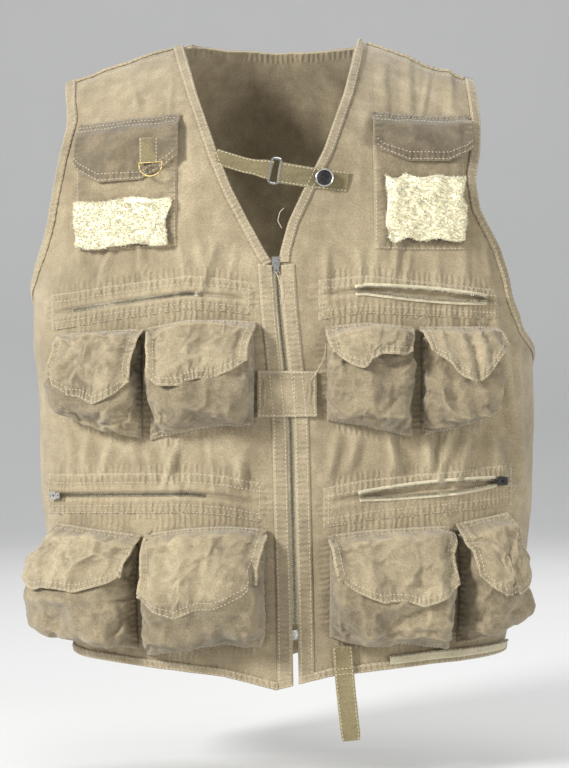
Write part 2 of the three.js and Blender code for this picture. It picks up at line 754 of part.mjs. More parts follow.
function sliderShape() {
  const leg = box(bridgeWire, bridgeClear + bridgeWire, bridgeWire, 0, -(sliderPlate + bridgeClear) / 2, 0);
  const reach = (bridgeSpan - bridgeWire) / 2;
  const plate = box(sliderWidth, sliderPlate, sliderLength);
  const top = leg.clone().translate(0, -bridgeWire / 2, reach);
  const low = leg.clone().translate(0, -bridgeWire / 2, -reach);
  const beam = box(bridgeWire, bridgeWire, bridgeSpan,
    0, -(sliderPlate / 2 + bridgeClear + bridgeWire / 2), 0);
  return joined(plate, top, low, beam);
}

function pullShape(eyeLength) {
  const bar = new THREE.CylinderGeometry(pullThickness / 2, pullThickness / 2, pullWidth, 8)
    .rotateZ(Math.PI / 2);
  const arm = (pullWidth - pullThickness) / 2;
  const arms = [-arm, arm].map((x) => box(pullThickness, pullThickness, eyeLength, x, 0, -eyeLength / 2));
  const plate = box(pullWidth, pullThickness, pullLength - eyeLength, 0, 0,
    -(pullLength + eyeLength) / 2 + 0.2);
  const hole = new THREE.CylinderGeometry(1.1, 1.1, 3 * pullThickness, 10).translate(0, 0, -pullLength + 2.2);
  return shape(body(joined(bar, ...arms, plate)).subtract(body(hole)));
}

// A group whose x, y and z lie across, into and up the cloth at a place on the front.
function mountOn(at, lift) {
  const { along, out } = axesAt(-1, at.turn, at.down);
  const up = along.clone().negate().normalize();
  const inwards = out.clone().negate();
  const right = new THREE.Vector3().crossVectors(inwards, up);
  const group = new THREE.Group();
  group.quaternion.setFromRotationMatrix(new THREE.Matrix4().makeBasis(right, inwards, up));
  group.position.copy(skin(-1, at, lift));
  vest.add(group);
  return group;
}

const pullBarLift = sliderPlate / 2 + clearance + pullThickness / 2;
const eyeLength = bridgeSpan / 2 + 1;
const zipStart = { ...lineSpot(zipRows[0]), down: zipRows[0] - (sliderLength / 2 + clearance) / bodyLength };
const frontSliderLift = trimLift + cloth + sliderPlate / 2 - pullBarLift + clearance;
const frontSlider = mountOn(zipStart, frontSliderLift);
add('front_zip_slider', sliderShape(), steel, frontSlider);
const frontPull = add('front_zip_pull', pullShape(eyeLength), brass, frontSlider);
frontPull.position.y = -pullBarLift;

// Neck strap: two tabs folded round a ring, the left one held by a snap
const strapRight = spot(-0.235, 0.2);
const strapLeft = spot(0.275, 0.234);
const strapLift = cloth + edgeRoom + bindingCloth + clearance;
const rightRoot = skin(-1, strapRight, strapLift);
const leftRoot = skin(-1, strapLeft, strapLift);
const strapCrossing = skin(-1, spot(0.08, 0.25), strapLift);
const strapPlane = Math.min(rightRoot.y, leftRoot.y, strapCrossing.y) - strapCloth / 2 + strapSink;
const ringCentre = new THREE.Vector3(-1.5, strapPlane, lerp(rightRoot.z, leftRoot.z, 0.62));
const strapTilt = -Math.atan2(leftRoot.z - rightRoot.z, leftRoot.x - rightRoot.x);

// The plan of a tab that runs along +x from a loop round a bar at x = 0.
function strapPlan(length, hole) {
  const outer = hole + strapCloth * 0.6;
  const plan = new THREE.Shape();
  plan.absarc(0, 0, outer, Math.PI * 0.35, Math.PI * 1.65, false);
  plan.lineTo(outer + strapCloth, -strapCloth / 2);
  plan.lineTo(length, -strapCloth / 2);
  plan.lineTo(length, strapCloth / 2);
  plan.lineTo(outer + strapCloth, strapCloth / 2);
  plan.closePath();
  const eye = new THREE.Path();
  eye.absarc(0, 0, hole, 0, Math.PI * 2, true);
  plan.holes.push(eye);
  return plan;
}

function strapTab(length, width, slack) {
  const plan = strapPlan(length, ringWire + clearance + slack);
  return new THREE.ExtrudeGeometry(plan, { depth: width, bevelEnabled: false, curveSegments: 5, steps: 1 })
    .translate(0, 0, -width / 2);
}

const strapPieces = [
  { name: 'right_neck_strap', root: rightRoot, width: rightStrapWidth, bar: -1 },
  { name: 'left_neck_strap', root: leftRoot, width: leftStrapWidth, bar: 1 },
];
for (const piece of strapPieces) {
  const toBar = new THREE.Vector3((piece.bar * ringWidth) / 2, 0, 0)
    .applyEuler(new THREE.Euler(0, strapTilt, 0));
  const bar = ringCentre.clone().add(toBar);
  const run = new THREE.Vector2(piece.root.x - bar.x, piece.root.z - bar.z);
  const turn = -Math.atan2(run.y, run.x);
  const slack = (piece.width / 2) * Math.abs(Math.tan(turn - strapTilt));
  const strap = add(piece.name, strapTab(run.length(), piece.width, slack), twill);
  strap.position.copy(bar);
  strap.rotation.y = turn;
}

// A round wire along a closed outline in the x z plane.
function wireRing(outline, wire, sides) {
  const middle = outline.reduce((sum, p) => sum.add(p), new THREE.Vector2()).divideScalar(outline.length);
  const rings = outline.map((p, i) => {
    const before = outline[(i + outline.length - 1) % outline.length];
    const after = outline[(i + 1) % outline.length];
    const inner = new THREE.Vector2().subVectors(p, before).normalize();
    const outer = new THREE.Vector2().subVectors(after, p).normalize();
    const run = inner.add(outer).normalize();
    const away = new THREE.Vector2(run.y, -run.x);
    if (away.dot(new THREE.Vector2().subVectors(p, middle)) < 0) away.negate();
    return Array.from({ length: sides }, (_, k) => {
      const angle = (2 * Math.PI * k) / sides;
      const reach = wire * Math.cos(angle);
      return new THREE.Vector3(p.x + away.x * reach, wire * Math.sin(angle), p.y + away.y * reach);
    });
  });
  return loft(rings, true);
}

function roundedOutline(width, height, radius, steps) {
  const centres = [[1, 1, 0], [-1, 1, 1], [-1, -1, 2], [1, -1, 3]];
  return centres.flatMap(([sx, sz, quarter]) => spread(0, 1, steps).map((share) => {
    const angle = ((quarter + share) * Math.PI) / 2;
    return new THREE.Vector2(
      sx * (width / 2 - radius) + radius * Math.cos(angle),
      sz * (height / 2 - radius) + radius * Math.sin(angle),
    );
  }));
}
const neckRing = add('neck_strap_ring',
  wireRing(roundedOutline(ringWidth, ringHeight + 2 * ringWire, 2.5, 3), ringWire, 6), steel);
neckRing.position.copy(ringCentre);
neckRing.rotation.y = strapTilt;

const snapProfile = [
  new THREE.Vector2(0, 0),
  new THREE.Vector2(snapRadius, 0),
  new THREE.Vector2(snapRadius, snapHeight * 0.45),
  new THREE.Vector2(snapRadius * 0.86, snapHeight * 0.75),
  new THREE.Vector2(snapRadius * 0.5, snapHeight * 0.95),
  new THREE.Vector2(0, snapHeight),
];
const snap = add('neck_strap_snap', new THREE.LatheGeometry(snapProfile, 12), darkSteel);
snap.rotation.x = Math.PI;
snap.position.set(leftRoot.x - 21, strapPlane - strapCloth / 2 - clearance, leftRoot.z + 1.6);

// Zipped pockets: a panel with a slit, and the zip behind it
for (const row of zipPanels) {
  const at = patch(row.side, row);
  const name = `${row.side}_${row.level}`;
  const height = ((row.lowIn + row.lowOut - row.topIn - row.topOut) / 2) * bodyLength;
  const slitHalf = slitHeight / 2 / height;
  const slitAt = row.side === 'left' ? 0.36 : 0.52;
  const rise = (u, w) => {
    const edge = Math.min(u / 0.05, (1 - u) / 0.05, w / 0.25, (1 - w) / 0.25, 1);
    return seatLift + clearance + zipPanelRise * Math.sin((edge * Math.PI) / 2);
  };
  const slitColumns = spread(slitFrom, 1 - slitFrom, 6);
  const plate = layeredSheet([0, 0.03, ...slitColumns, 0.97, 1], [0, 0.14, 0.86, 1], (u, w, top) => {
    return skin(-1, at(u, w), rise(u, w) + top * cloth);
  });
  const slit = layeredSheet(slitColumns, [slitAt - slitHalf, slitAt + slitHalf], (u, w, top) => {
    return skin(-1, at(u, w), top * slitReach);
  });
  add(`${name}_zip_panel`, shape(body(plate).subtract(body(slit))), flapTwill);
  const teethShare = teethHalf / height;
  const tapeShare = pocketTapeHalf / height;
  const low = seatLift + clearance;
  const flat = low + tapeCloth;
  add(`${name}_zip`, loft(spread(slitFrom, 1 - slitFrom, 12).slice(1, -1).map((u, i) => {
    const tooth = seatLift + zipPanelRise + cloth - (i % 2) * toothHeight;
    const point = (w, lift) => skin(-1, at(u, slitAt + w), lift);
    return [
      point(-tapeShare, low), point(tapeShare, low), point(tapeShare, flat), point(teethShare, flat),
      point(teethShare, tooth), point(-teethShare, tooth), point(-teethShare, flat), point(-tapeShare, flat),
    ];
  })), creamTape);
  if (row.level === 'lower') {
    const slider = mountOn(at(0.9, slitAt), seatLift
      + zipPanelRise + cloth + 2 * clearance + sliderPlate / 2);
    const turned = new THREE.Group();
    turned.rotation.y = row.side === 'right' ? -Math.PI / 2 : Math.PI / 2;
    slider.add(turned);
    add(`${name}_zip_slider`, sliderShape(), steel, turned);
    const pull = add(`${name}_zip_pull`, pullShape(eyeLength), steel, turned);
    pull.position.y = -pullBarLift;
  }
}

// A bag that stands out from the body, open at its mouth and against the body. Its wall is set in from
// the sides.
function bag(at, size) {
  const us = size.across.map((row) => row.across);
  const layer = (set) => size.rows.map((w) => us.map((u) => {
    const across = read(size.across, 'across', u, 'out');
    const foot = read(bagDown, 'down', w, 'out');
    const depth = w < bellyAt ? lerp(size.mouth, size.belly, foot) : size.belly * foot;
    const dent = size.crease * Math.abs(Math.sin(u * 9 + w * 7))
      * Math.sin(w * Math.PI) * Math.sin(u * Math.PI);
    const lift = Math.max(0, across * depth - dent - set * cloth);
    const drop = (size.sag * lift * Math.min(w / bellyAt, 1)) / size.belly;
    const inset = (set * cloth) / size.width;
    const lower = (set * cloth) / size.height;
    return skin(-1, at(lerp(inset, 1 - inset, u), w * (1 - lower)),
      seatLift + size.seat * deepSeat + lift, 0, drop);
  }));
  return sheet(layer(0), layer(1));
}

// A flap sewn above a bag's mouth, which it covers
function flap(at, share, mouth, belly, seat, outTo = 1.02) {
  const us = flapOutline.map((row) => row.across);
  const ws = [0, 0.06, 0.14, 0.42, 0.75, 1];
  const outer = ws.map((w) => us.map((u) => {
    const reach = share * read(flapOutline, 'across', u, 'length');
    const down = w * reach;
    const rise = read(flapDown, 'down', w, 'out');
    const bagDepth = lerp(mouth, belly, Math.min(1, down / 0.6));
    const swell = flapPuff * Math.sin(w * Math.PI) * Math.sin(u * Math.PI);
    const sewn = cloth - flapTuck + seat * deepSeat;
    const lift = lerp(sewn, seatLift, rise) + cloth + rise * (bagDepth + flapRoom) + swell;
    return skin(-1, at(lerp(-0.02, outTo, u), down), lift);
  }));
  return walledSheet(outer, cloth);
}

for (const row of bellows) {
  const side = row.name.split('_')[0];
  const depthShare = row.name.includes('lower') ? 1 : 0.86;
  const mouth = mouthDepth * depthShare;
  const belly = bellyDepth * depthShare;
  const size = {
    across: bagAcross,
    rows: [0, 0.2, 0.4, 0.6, 0.82, 0.95, 1],
    mouth,
    belly,
    sag: bellySag,
    crease: creaseDepth,
    width: (row.outer - row.inner) * halfChest,
    height: (row.lowIn - row.topIn) * bodyLength,
    seat: row.seat,
  };
  add(`${row.name}_pocket`, bag(patch(side, row, mouthDrop), size), flapTwill);
  add(`${row.name}_flap`, flap(patch(side, row), row.flap, mouth, belly, row.seat), twill);
}

// Chest pockets, their flaps and fleece patches
for (const row of chestPockets) {
  const at = patch(row.side, row, mouthDrop);
  const depth = chestPocketDepth;
  const size = {
    across: patchAcross,
    rows: [0, 0.3, 0.6, 0.82, 0.95, 1],
    mouth: depth,
    belly: depth,
    sag: 0,
    crease: 0,
    width: (row.outer - row.inner) * halfChest,
    height: (row.lowIn - row.topIn) * bodyLength,
    seat: 0.8,
  };
  add(`${row.side}_chest_pocket`, bag(at, size), twill);
  add(`${row.side}_chest_flap`,
    flap(patch(row.side, row), row.flap, depth, depth, 0, row.flapOut), flapTwill);
  const us = spread(row.fleeceIn, row.fleeceOut, 8);
  const ws = spread(row.fleeceTop, row.fleeceLow, 5);
  add(`${row.side}_fleece`, layeredSheet(us, ws, (u, w, top) => {
    const edge = Math.min(u - row.fleeceIn, row.fleeceOut - u, w - row.fleeceTop, row.fleeceLow - w);
    const lock = lockDepth * Math.sin(u * 71) * Math.sin(w * 97);
    const full = Math.min(1, 0.4 + edge * 12);
    const under = seatLift + size.seat * deepSeat + depth + 2 * clearance;
    return skin(-1, at(u, w), under + top * (fleeceDepth * full + lock + lockDepth));
  }), fleece);
}

// The tab on the right chest flap and the ring that hangs in its loop
const tabSpot = spot(-0.475, 0.213);
const tabHang = mountOn(tabSpot, seatLift + cloth + chestPocketDepth + flapRoom
  + flapPuff + clearance + ringTabCloth);
const tabLoop = dRingWire + clearance;
function tabProfile() {
  const outer = tabLoop + ringTabCloth;
  const side = new THREE.Shape();
  side.absarc(0, 0, outer, Math.PI * 0.8, Math.PI * 2.2, false);
  side.lineTo(ringTabCloth, outer + 1);
  side.lineTo(ringTabCloth, ringTabLength - outer);
  side.lineTo(-ringTabCloth, ringTabLength - outer);
  side.lineTo(-ringTabCloth, outer + 1);
  side.closePath();
  const eye = new THREE.Path();
  eye.absarc(0, 0, tabLoop, 0, Math.PI * 2, true);
  side.holes.push(eye);
  return side;
}
const tabShape = new THREE.ExtrudeGeometry(tabProfile(),
  { depth: ringTabWidth, bevelEnabled: false, curveSegments: 5 })
  .translate(0, 0, -ringTabWidth / 2)
  .rotateY(Math.PI / 2)
  .rotateX(Math.PI / 2);
const ringTab = add('ring_tab', tabShape, twill, tabHang);

function dOutline() {
  const half = dRingWidth / 2;
  const bow = spread(0, Math.PI, 10).map((angle) =>
    new THREE.Vector2(half * Math.cos(angle), -dRingDrop * Math.sin(angle) ** 0.8));
  return bow;
}
const dRing = add('d_ring', wireRing(dOutline(), dRingWire, 6), brass, tabHang);

// Loose ends: the strap that hangs from the left front, and the zip half along the hem below the left pockets
const strapTop = spot(0.255, 0.93);
const hangLift = cloth + edgeRoom + bindingCloth + clearance;
const strapHead = skin(-1, strapTop, hangLift);
add('hanging_strap', layeredSheet([0, 0.5, 1], spread(0, 1, 6), (u, w, top) => {
  const x = strapHead.x + (u - 0.5) * hangingStrapWidth + hangingStrapDrift * w;
  const y = strapHead.y - 3 * w - top * cloth + 1.5 * Math.sin(w * Math.PI * 2);
  return new THREE.Vector3(x, y, strapHead.z - w * hangingStrapLength);
}), oliveTwill);

const hemZipLift = hangLift + seatRoom;
add('hem_zip', loft(spread(0.44, 0.9, 14).map((x, i) => {
  const at = spot(x, -hemHeight(x * halfChest) / bodyLength);
  const tooth = hemZipLift + tapeCloth + toothHeight * (1 + (i % 2));
  const point = (dz, lift) => skin(-1, at, lift, 0, dz);
  const teethTop = hemZipHeight / 2 - 2 * teethHalf;
  return [
    point(-hemZipHeight / 2, hemZipLift), point(hemZipHeight / 2, hemZipLift), point(hemZipHeight / 2, tooth),
    point(teethTop, tooth), point(teethTop, hemZipLift + tapeCloth),
    point(-hemZipHeight / 2, hemZipLift + tapeCloth),
  ];
})), creamTape);

export default vest;
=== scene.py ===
import json
import math
import random

import bpy
import numpy as np
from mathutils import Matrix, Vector
from mathutils.bvhtree import BVHTree
from mathutils.kdtree import KDTree

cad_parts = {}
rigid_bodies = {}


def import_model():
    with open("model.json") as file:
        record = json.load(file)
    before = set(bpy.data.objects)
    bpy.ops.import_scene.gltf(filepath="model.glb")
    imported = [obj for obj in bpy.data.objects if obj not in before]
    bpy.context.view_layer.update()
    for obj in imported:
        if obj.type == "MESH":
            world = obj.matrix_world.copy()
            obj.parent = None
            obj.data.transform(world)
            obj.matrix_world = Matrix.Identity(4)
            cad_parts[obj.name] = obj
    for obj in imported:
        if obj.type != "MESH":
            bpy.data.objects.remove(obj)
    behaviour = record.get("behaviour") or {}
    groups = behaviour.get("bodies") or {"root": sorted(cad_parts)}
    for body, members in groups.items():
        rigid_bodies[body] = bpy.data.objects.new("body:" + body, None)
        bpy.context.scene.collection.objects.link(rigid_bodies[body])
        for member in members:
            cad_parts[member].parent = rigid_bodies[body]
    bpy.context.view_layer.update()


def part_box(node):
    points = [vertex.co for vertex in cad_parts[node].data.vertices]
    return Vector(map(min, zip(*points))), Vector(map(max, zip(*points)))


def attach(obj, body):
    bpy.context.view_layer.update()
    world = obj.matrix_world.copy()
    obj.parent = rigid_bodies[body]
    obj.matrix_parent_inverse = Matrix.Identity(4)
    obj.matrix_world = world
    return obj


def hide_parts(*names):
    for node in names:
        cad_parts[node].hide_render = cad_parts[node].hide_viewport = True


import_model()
bpy.ops.object.select_all(action="DESELECT")
randomNumbers = random.Random(7)
noiseTable = np.random.default_rng(11).uniform(-1, 1, 4096)
mm = 0.001
print("frame loaded")

# Camera, light and floor
camera = {"place": (0.0073, -2.0, -0.3288), "pixelsPerMetreAtOne": 2062, "imageHeight": 768}
studio = {
    "floorHeight": -0.70,
    "sweepStart": 3.0,
    "sweepRadius": 1.6,
    "floorColor": (0.74, 0.74, 0.73, 1),
    "floorPale": (0.77, 0.77, 0.76, 1),
    "floorSize": 14,
    "aim": (0, 0, -0.32),
    "worldColor": (0.86, 0.88, 0.9, 1),
    "worldStrength": 0.42,
    "lamps": [
        {"name": "keyLamp", "place": (-1.9, -1.7, 0.75), "size": 0.6, "power": 84},
        {"name": "fillLamp", "place": (1.9, -2.0, 0.1), "size": 1.4, "power": 26},
        {"name": "backLamp", "place": (0.6, 2.0, 1.6), "size": 1.6, "power": 34},
        {"name": "topLamp", "place": (0.1, -0.2, 2.2), "size": 1.2, "power": 12},
    ],
}


def newMaterial(name):
    material = bpy.data.materials.new(name)
    material.use_nodes = True
    nodes = material.node_tree.nodes
    nodes.clear()
    output = nodes.new("ShaderNodeOutputMaterial")
    shader = nodes.new("ShaderNodeBsdfPrincipled")
    material.node_tree.links.new(shader.outputs[0], output.inputs[0])
    return material, material.node_tree, shader


def addNode(tree, kind, inputs=None, **settings):
    node = tree.nodes.new(kind)
    for key, value in settings.items():
        setattr(node, key, value)
    for key, value in (inputs or {}).items():
        if isinstance(value, bpy.types.NodeSocket):
            tree.links.new(value, node.inputs[key])
        else:
            node.inputs[key].default_value = value
    return node


def addMath(tree, operation, *values):
    return addNode(tree, "ShaderNodeMath", dict(enumerate(values)), operation=operation).outputs[0]


def mixColors(tree, share, first, second, blend="MIX"):
    node = addNode(tree, "ShaderNodeMix", data_type="RGBA", blend_type=blend)
    for index, value in ((0, share), (6, first), (7, second)):
        if isinstance(value, bpy.types.NodeSocket):
            tree.links.new(value, node.inputs[index])
        else:
            node.inputs[index].default_value = value
    return node.outputs[2]


def noiseOf(tree, place, scale, detail, roughness=0.5):
    inputs = {"Vector": place, "Scale": scale, "Detail": detail, "Roughness": roughness}
    return addNode(tree, "ShaderNodeTexNoise", inputs)


def mapRange(tree, value, low, high, newLow, newHigh, **settings):
    inputs = {0: value, 1: low, 2: high, 3: newLow, 4: newHigh}
    return addNode(tree, "ShaderNodeMapRange", inputs, **settings)


def buildStudio():
    data = bpy.data.cameras.new("photoCamera")
    eye = bpy.data.objects.new("photoCamera", data)
    bpy.context.scene.collection.objects.link(eye)
    eye.location = camera["place"]
    eye.rotation_euler = (math.pi / 2, 0, 0)
    data.sensor_fit = "VERTICAL"
    data.sensor_height = 36
    data.lens = camera["pixelsPerMetreAtOne"] * data.sensor_height / camera["imageHeight"]
    data.clip_end = 50
    bpy.context.scene.camera = eye

    world = bpy.data.worlds.new("studioWorld")
    bpy.context.scene.world = world
    world.use_nodes = True
    background = world.node_tree.nodes["Background"]
    background.inputs[0].default_value = studio["worldColor"]
    background.inputs[1].default_value = studio["worldStrength"]
    for lamp in studio["lamps"]:
        light = bpy.data.lights.new(lamp["name"], "AREA")
        light.shape = "DISK"
        light.size = lamp["size"]
        light.energy = lamp["power"]
        holder = bpy.data.objects.new(lamp["name"], light)
        bpy.context.scene.collection.objects.link(holder)
        holder.location = lamp["place"]
        towards = Vector(studio["aim"]) - holder.location
        holder.rotation_euler = towards.to_track_quat("-Z", "Y").to_euler()

    bpy.ops.mesh.primitive_grid_add(x_subdivisions=2, y_subdivisions=48, size=studio["floorSize"],
                                    location=(0, 0, studio["floorHeight"]))
    floor = bpy.context.object
    floor.name = "backdrop"
    bend, radius = studio["sweepStart"], studio["sweepRadius"]
    for vertex in floor.data.vertices:
        beyond = max(0.0, vertex.co.y - bend)
        turned = min(beyond / radius, math.pi / 2)
        vertex.co.z += radius * (1 - math.cos(turned)) + max(0.0, beyond - radius * math.pi / 2)
        vertex.co.y = min(vertex.co.y, bend) + radius * math.sin(turned)
    bpy.ops.object.shade_smooth()
    material, tree, shader = newMaterial("paleFloor")
    grain = addNode(tree, "ShaderNodeTexNoise", {"Scale": 3.0, "Detail": 3.0})
    coordinates = addNode(tree, "ShaderNodeTexCoord")
    tree.links.new(coordinates.outputs["Object"], grain.inputs["Vector"])
    tone = mixColors(tree, grain.outputs[0], studio["floorColor"], studio["floorPale"])
    tree.links.new(tone, shader.inputs["Base Color"])
    shader.inputs["Roughness"].default_value = 0.7
    floor.data.materials.append(material)


buildStudio()
view = bpy.context.scene.view_settings
view.view_transform = "Standard"
print("studio ready")

# The body's surface: sections from the top edge (0) to the hem (1)
body = {
    "length": 0.610, "halfChest": 0.235, "chestDepth": 0.122, "backDepth": 0.106,
    "neckHalf": 0.082, "neckRise": 0.040, "shoulderTip": 0.200, "shoulderDrop": 0.040,
    "shoulderRound": 0.110, "rounding": 0.6, "halfGap": 0.00025, "cloth": 0.0016,
}
sectionNames = ("down", "half", "shift", "front", "back", "line")
sectionRows = (
    (0.0, 1.0, 0.0, 0.5, 0.62, 0.0),
    (0.1, 1.0, 0.0, 0.68, 0.82, 0.0),
    (0.2, 1.0, 0.0, 0.86, 1.0, 0.0),
    (0.36, 0.995, 0.006, 0.98, 0.98, -0.002),
    (0.44, 1.005, 0.02, 1.0, 0.94, 0.012),
    (0.52, 1.005, 0.03, 1.0, 0.92, 0.034),
    (0.6, 1.0, 0.034, 0.99, 0.9, 0.054),
    (0.74, 0.995, 0.036, 0.98, 0.92, 0.062),
    (0.86, 0.95, 0.042, 0.97, 0.96, 0.07),
    (1.0, 0.86, 0.05, 0.93, 1.0, 0.076),
)
hemRows = ((0.0, -0.998), (0.2, -0.978), (0.6, -0.962), (1.0, -0.95))
neckRows = (
    (0.0, 0.385, 0.325), (0.1, 0.315, 0.264), (0.19, 0.236, 0.185), (0.25, 0.175, 0.106),
    (0.3, 0.108, 0.045), (0.345, 0.043, 0.013), (0.36, 0.014, 0.01),
)
armRows = (
    (0.0, 0.864, 0.809, 0.864, 0.809), (0.08, 0.838, 0.817, 0.89, 0.83), (0.14, 0.868, 0.806, 0.885, 0.82),
    (0.19, 0.886, 0.783, 0.88, 0.82), (0.24, 0.903, 0.8, 0.9, 0.83), (0.3, 0.945, 0.885, 0.94, 0.89),
    (0.35, 0.982, 0.918, 0.98, 0.94), (0.38, 1.0, 0.932, 1.0, 0.97), (0.46, 1.0, 0.994, 1.0, 0.994),
    (0.475, 1.0, 1.0, 1.0, 1.0),
)
neckFoot = 0.36
armFoot = {"right": 0.38, "left": 0.475}
armClosing = 0.05
signs = {"right": -1, "left": 1}
frontHalf = 0.0027

def smoothTable(rows, column, window=9):
    at = np.linspace(0, 1, 401)
    values = np.interp(at, [r[0] for r in rows], [r[column] for r in rows])
    padded = np.pad(values, window, mode="edge")
    kernel = np.hanning(2 * window + 3)[1:-1]
    return at, np.convolve(padded, kernel / kernel.sum(), mode="valid")


sectionTables = {name: smoothTable(sectionRows, i, 14) for i, name in enumerate(sectionNames) if i}
neckTables = {"right": smoothTable(neckRows, 1, 3), "left": smoothTable(neckRows, 2, 3)}
armTables = {
    (-1, "right"): smoothTable(armRows, 1, 4), (-1, "left"): smoothTable(armRows, 2, 4),
    (1, "right"): smoothTable(armRows, 3, 4), (1, "left"): smoothTable(armRows, 4, 4),
}


def section(name, down):
    return np.interp(down, *sectionTables[name])


def ridge(x):
    away = np.abs(x)
    neck = body["neckRise"] * (1 - away / body["neckHalf"])
    slope = -body["shoulderDrop"] * (away - body["neckHalf"]) / (body["shoulderTip"] - body["neckHalf"])
    return np.where(away < body["neckHalf"], neck, slope)


def topHeight(x):
    return np.minimum(ridge(x), 0.0003)


def hemHeight(x):
    shares, heights = zip(*hemRows)
    return body["length"] * np.interp(np.abs(x) / body["halfChest"], shares, heights)


def turnAt(x, down):
    half = body["halfChest"] * section("half", down)
    return np.arcsin(np.clip((x - body["halfChest"] * section("shift", down)) / half, -1, 1))


def spot(xShare, heightShare):
    x = np.asarray(xShare, float) * body["halfChest"]
    top = topHeight(x)
    down = (top + heightShare * body["length"]) / (top - hemHeight(x))
    return turnAt(x, down), down


def bare(face, turn, down):
    turn, down = np.broadcast_arrays(np.asarray(turn, float), np.asarray(down, float))
    x = body["halfChest"] * (section("shift", down) + section("half", down) * np.sin(turn))
    z = topHeight(x) + (hemHeight(x) - topHeight(x)) * down
    fall = np.maximum(0, 1 - (ridge(x) - z) / body["shoulderRound"])
    rounding = np.sqrt(np.maximum(0, 1 - fall * fall))
    reach, table = (body["chestDepth"], "front") if face < 0 else (body["backDepth"], "back")
    depth = reach * section(table, down) * np.maximum(0, np.cos(turn)) ** body["rounding"] * rounding
    return np.stack([x, face * (body["halfGap"] + depth), z], axis=-1)


def unit(vectors):
    return vectors / np.maximum(np.linalg.norm(vectors, axis=-1, keepdims=True), 1e-12)


def smoothStep(values):
    values = np.clip(values, 0, 1)
    return values * values * (3 - 2 * values)


def surfaceAxes(face, turn, down):
    turn, down = np.broadcast_arrays(np.asarray(turn, float), np.asarray(down, float))
    low, high = np.maximum(turn - 0.02, -math.pi / 2), np.minimum(turn + 0.02, math.pi / 2)
    above, below = np.maximum(down - 0.006, 0), np.minimum(down + 0.006, 1)
    across = (bare(face, high, down) - bare(face, low, down)) / (high - low)[..., None]
    along = (bare(face, turn, below) - bare(face, turn, above)) / (below - above)[..., None]
    return across, along, -face * unit(np.cross(along, across))


def valueNoise(points, size, seed=0):
    q = points / size + 100
    cell = np.floor(q).astype(np.int64)
    f = q - cell
    f = f * f * (3 - 2 * f)
    total = np.zeros(points.shape[:-1])
    for corner in range(8):
        step = [(corner >> k) & 1 for k in range(3)]
        key = seed * 7919
        for k, prime in enumerate((73856093, 19349663, 83492791)):
            key = key ^ ((cell[..., k] + step[k]) * prime)
        weight = np.ones_like(total)
        for k in range(3):
            weight = weight * (f[..., k] if step[k] else 1 - f[..., k])
        total = total + weight * noiseTable[key & 4095]
    return total


def creases(points, size, seed, levels=3):
    total = np.zeros(points.shape[:-1])
    strength = 1.0
    for level in range(levels):
        total += strength * (0.55 - 2 * np.abs(valueNoise(points, size / 1.9 ** level, seed + level)))
        strength *= 0.5
    return total


def named(names, rows):
    return {key: dict(zip(names, row)) for key, row in rows.items()}


# Zipped panels and pockets, in the same shares of the chest and the length as the solids
zipPanels = named(("inner", "outer", "tops", "feet", "slitAt"), {
    "right_middle": (0.094, 0.885, (0.39, 0.405), (0.434, 0.455), 0.52),
    "left_middle": (0.17, 0.862, (0.387, 0.398), (0.441, 0.439), 0.36),
    "right_lower": (0.052, 0.91, (0.69, 0.68), (0.744, 0.736), 0.52),
    "left_lower": (0.19, 0.925, (0.697, 0.663), (0.752, 0.72), 0.36),
})
pockets = named(("inner", "outer", "tops", "feet", "flap"), {
    "right_middle_inner": (0.088, 0.49, (0.446, 0.454), (0.6, 0.624), 0.62),
    "right_middle_outer": (0.52, 0.835, (0.456, 0.462), (0.622, 0.58), 0.8),
    "left_middle_inner": (0.195, 0.525, (0.453, 0.453), (0.594, 0.62), 0.52),
    "left_middle_outer": (0.56, 0.835, (0.453, 0.452), (0.618, 0.588), 0.56),
    "right_lower_inner": (0.045, 0.5, (0.755, 0.763), (0.93, 0.948), 0.72),
    "right_lower_outer": (0.532, 0.86, (0.765, 0.75), (0.938, 0.9), 0.6),
    "left_lower_inner": (0.205, 0.665, (0.764, 0.752), (0.918, 0.94), 0.66),
    "left_lower_outer": (0.7, 0.9, (0.748, 0.734), (0.93, 0.892), 0.64),
})
chestPockets = {
    "right": {"inner": 0.385, "outer": 0.78, "tops": (0.136, 0.146), "feet": (0.334, 0.338), "flap": 0.48,
              "flapOut": 1.02, "fleece": (0.06, 0.98, 0.62, 0.985)},
    "left": {"inner": 0.38, "outer": 0.735, "tops": (0.132, 0.132), "feet": (0.338, 0.338), "flap": 0.36,
             "flapOut": 1.11, "fleece": (0.12, 0.97, 0.46, 0.93)},
}


def sideOf(name):
    return name.split("_")[0]


def patch(side, row, topShift=0.0):
    sign = signs[side]
    drop = -topShift / body["length"]
    corners = [
        spot(sign * row["inner"], row["tops"][0] + drop), spot(sign * row["outer"], row["tops"][1] + drop),
        spot(sign * row["inner"], row["feet"][0]), spot(sign * row["outer"], row["feet"][1]),
    ]

    def at(u, w):
        found = []
        for k in (0, 1):
            top = corners[0][k] + (corners[1][k] - corners[0][k]) * u
            foot = corners[2][k] + (corners[3][k] - corners[2][k]) * u
            found.append(top + (foot - top) * w)
        return found
    return at


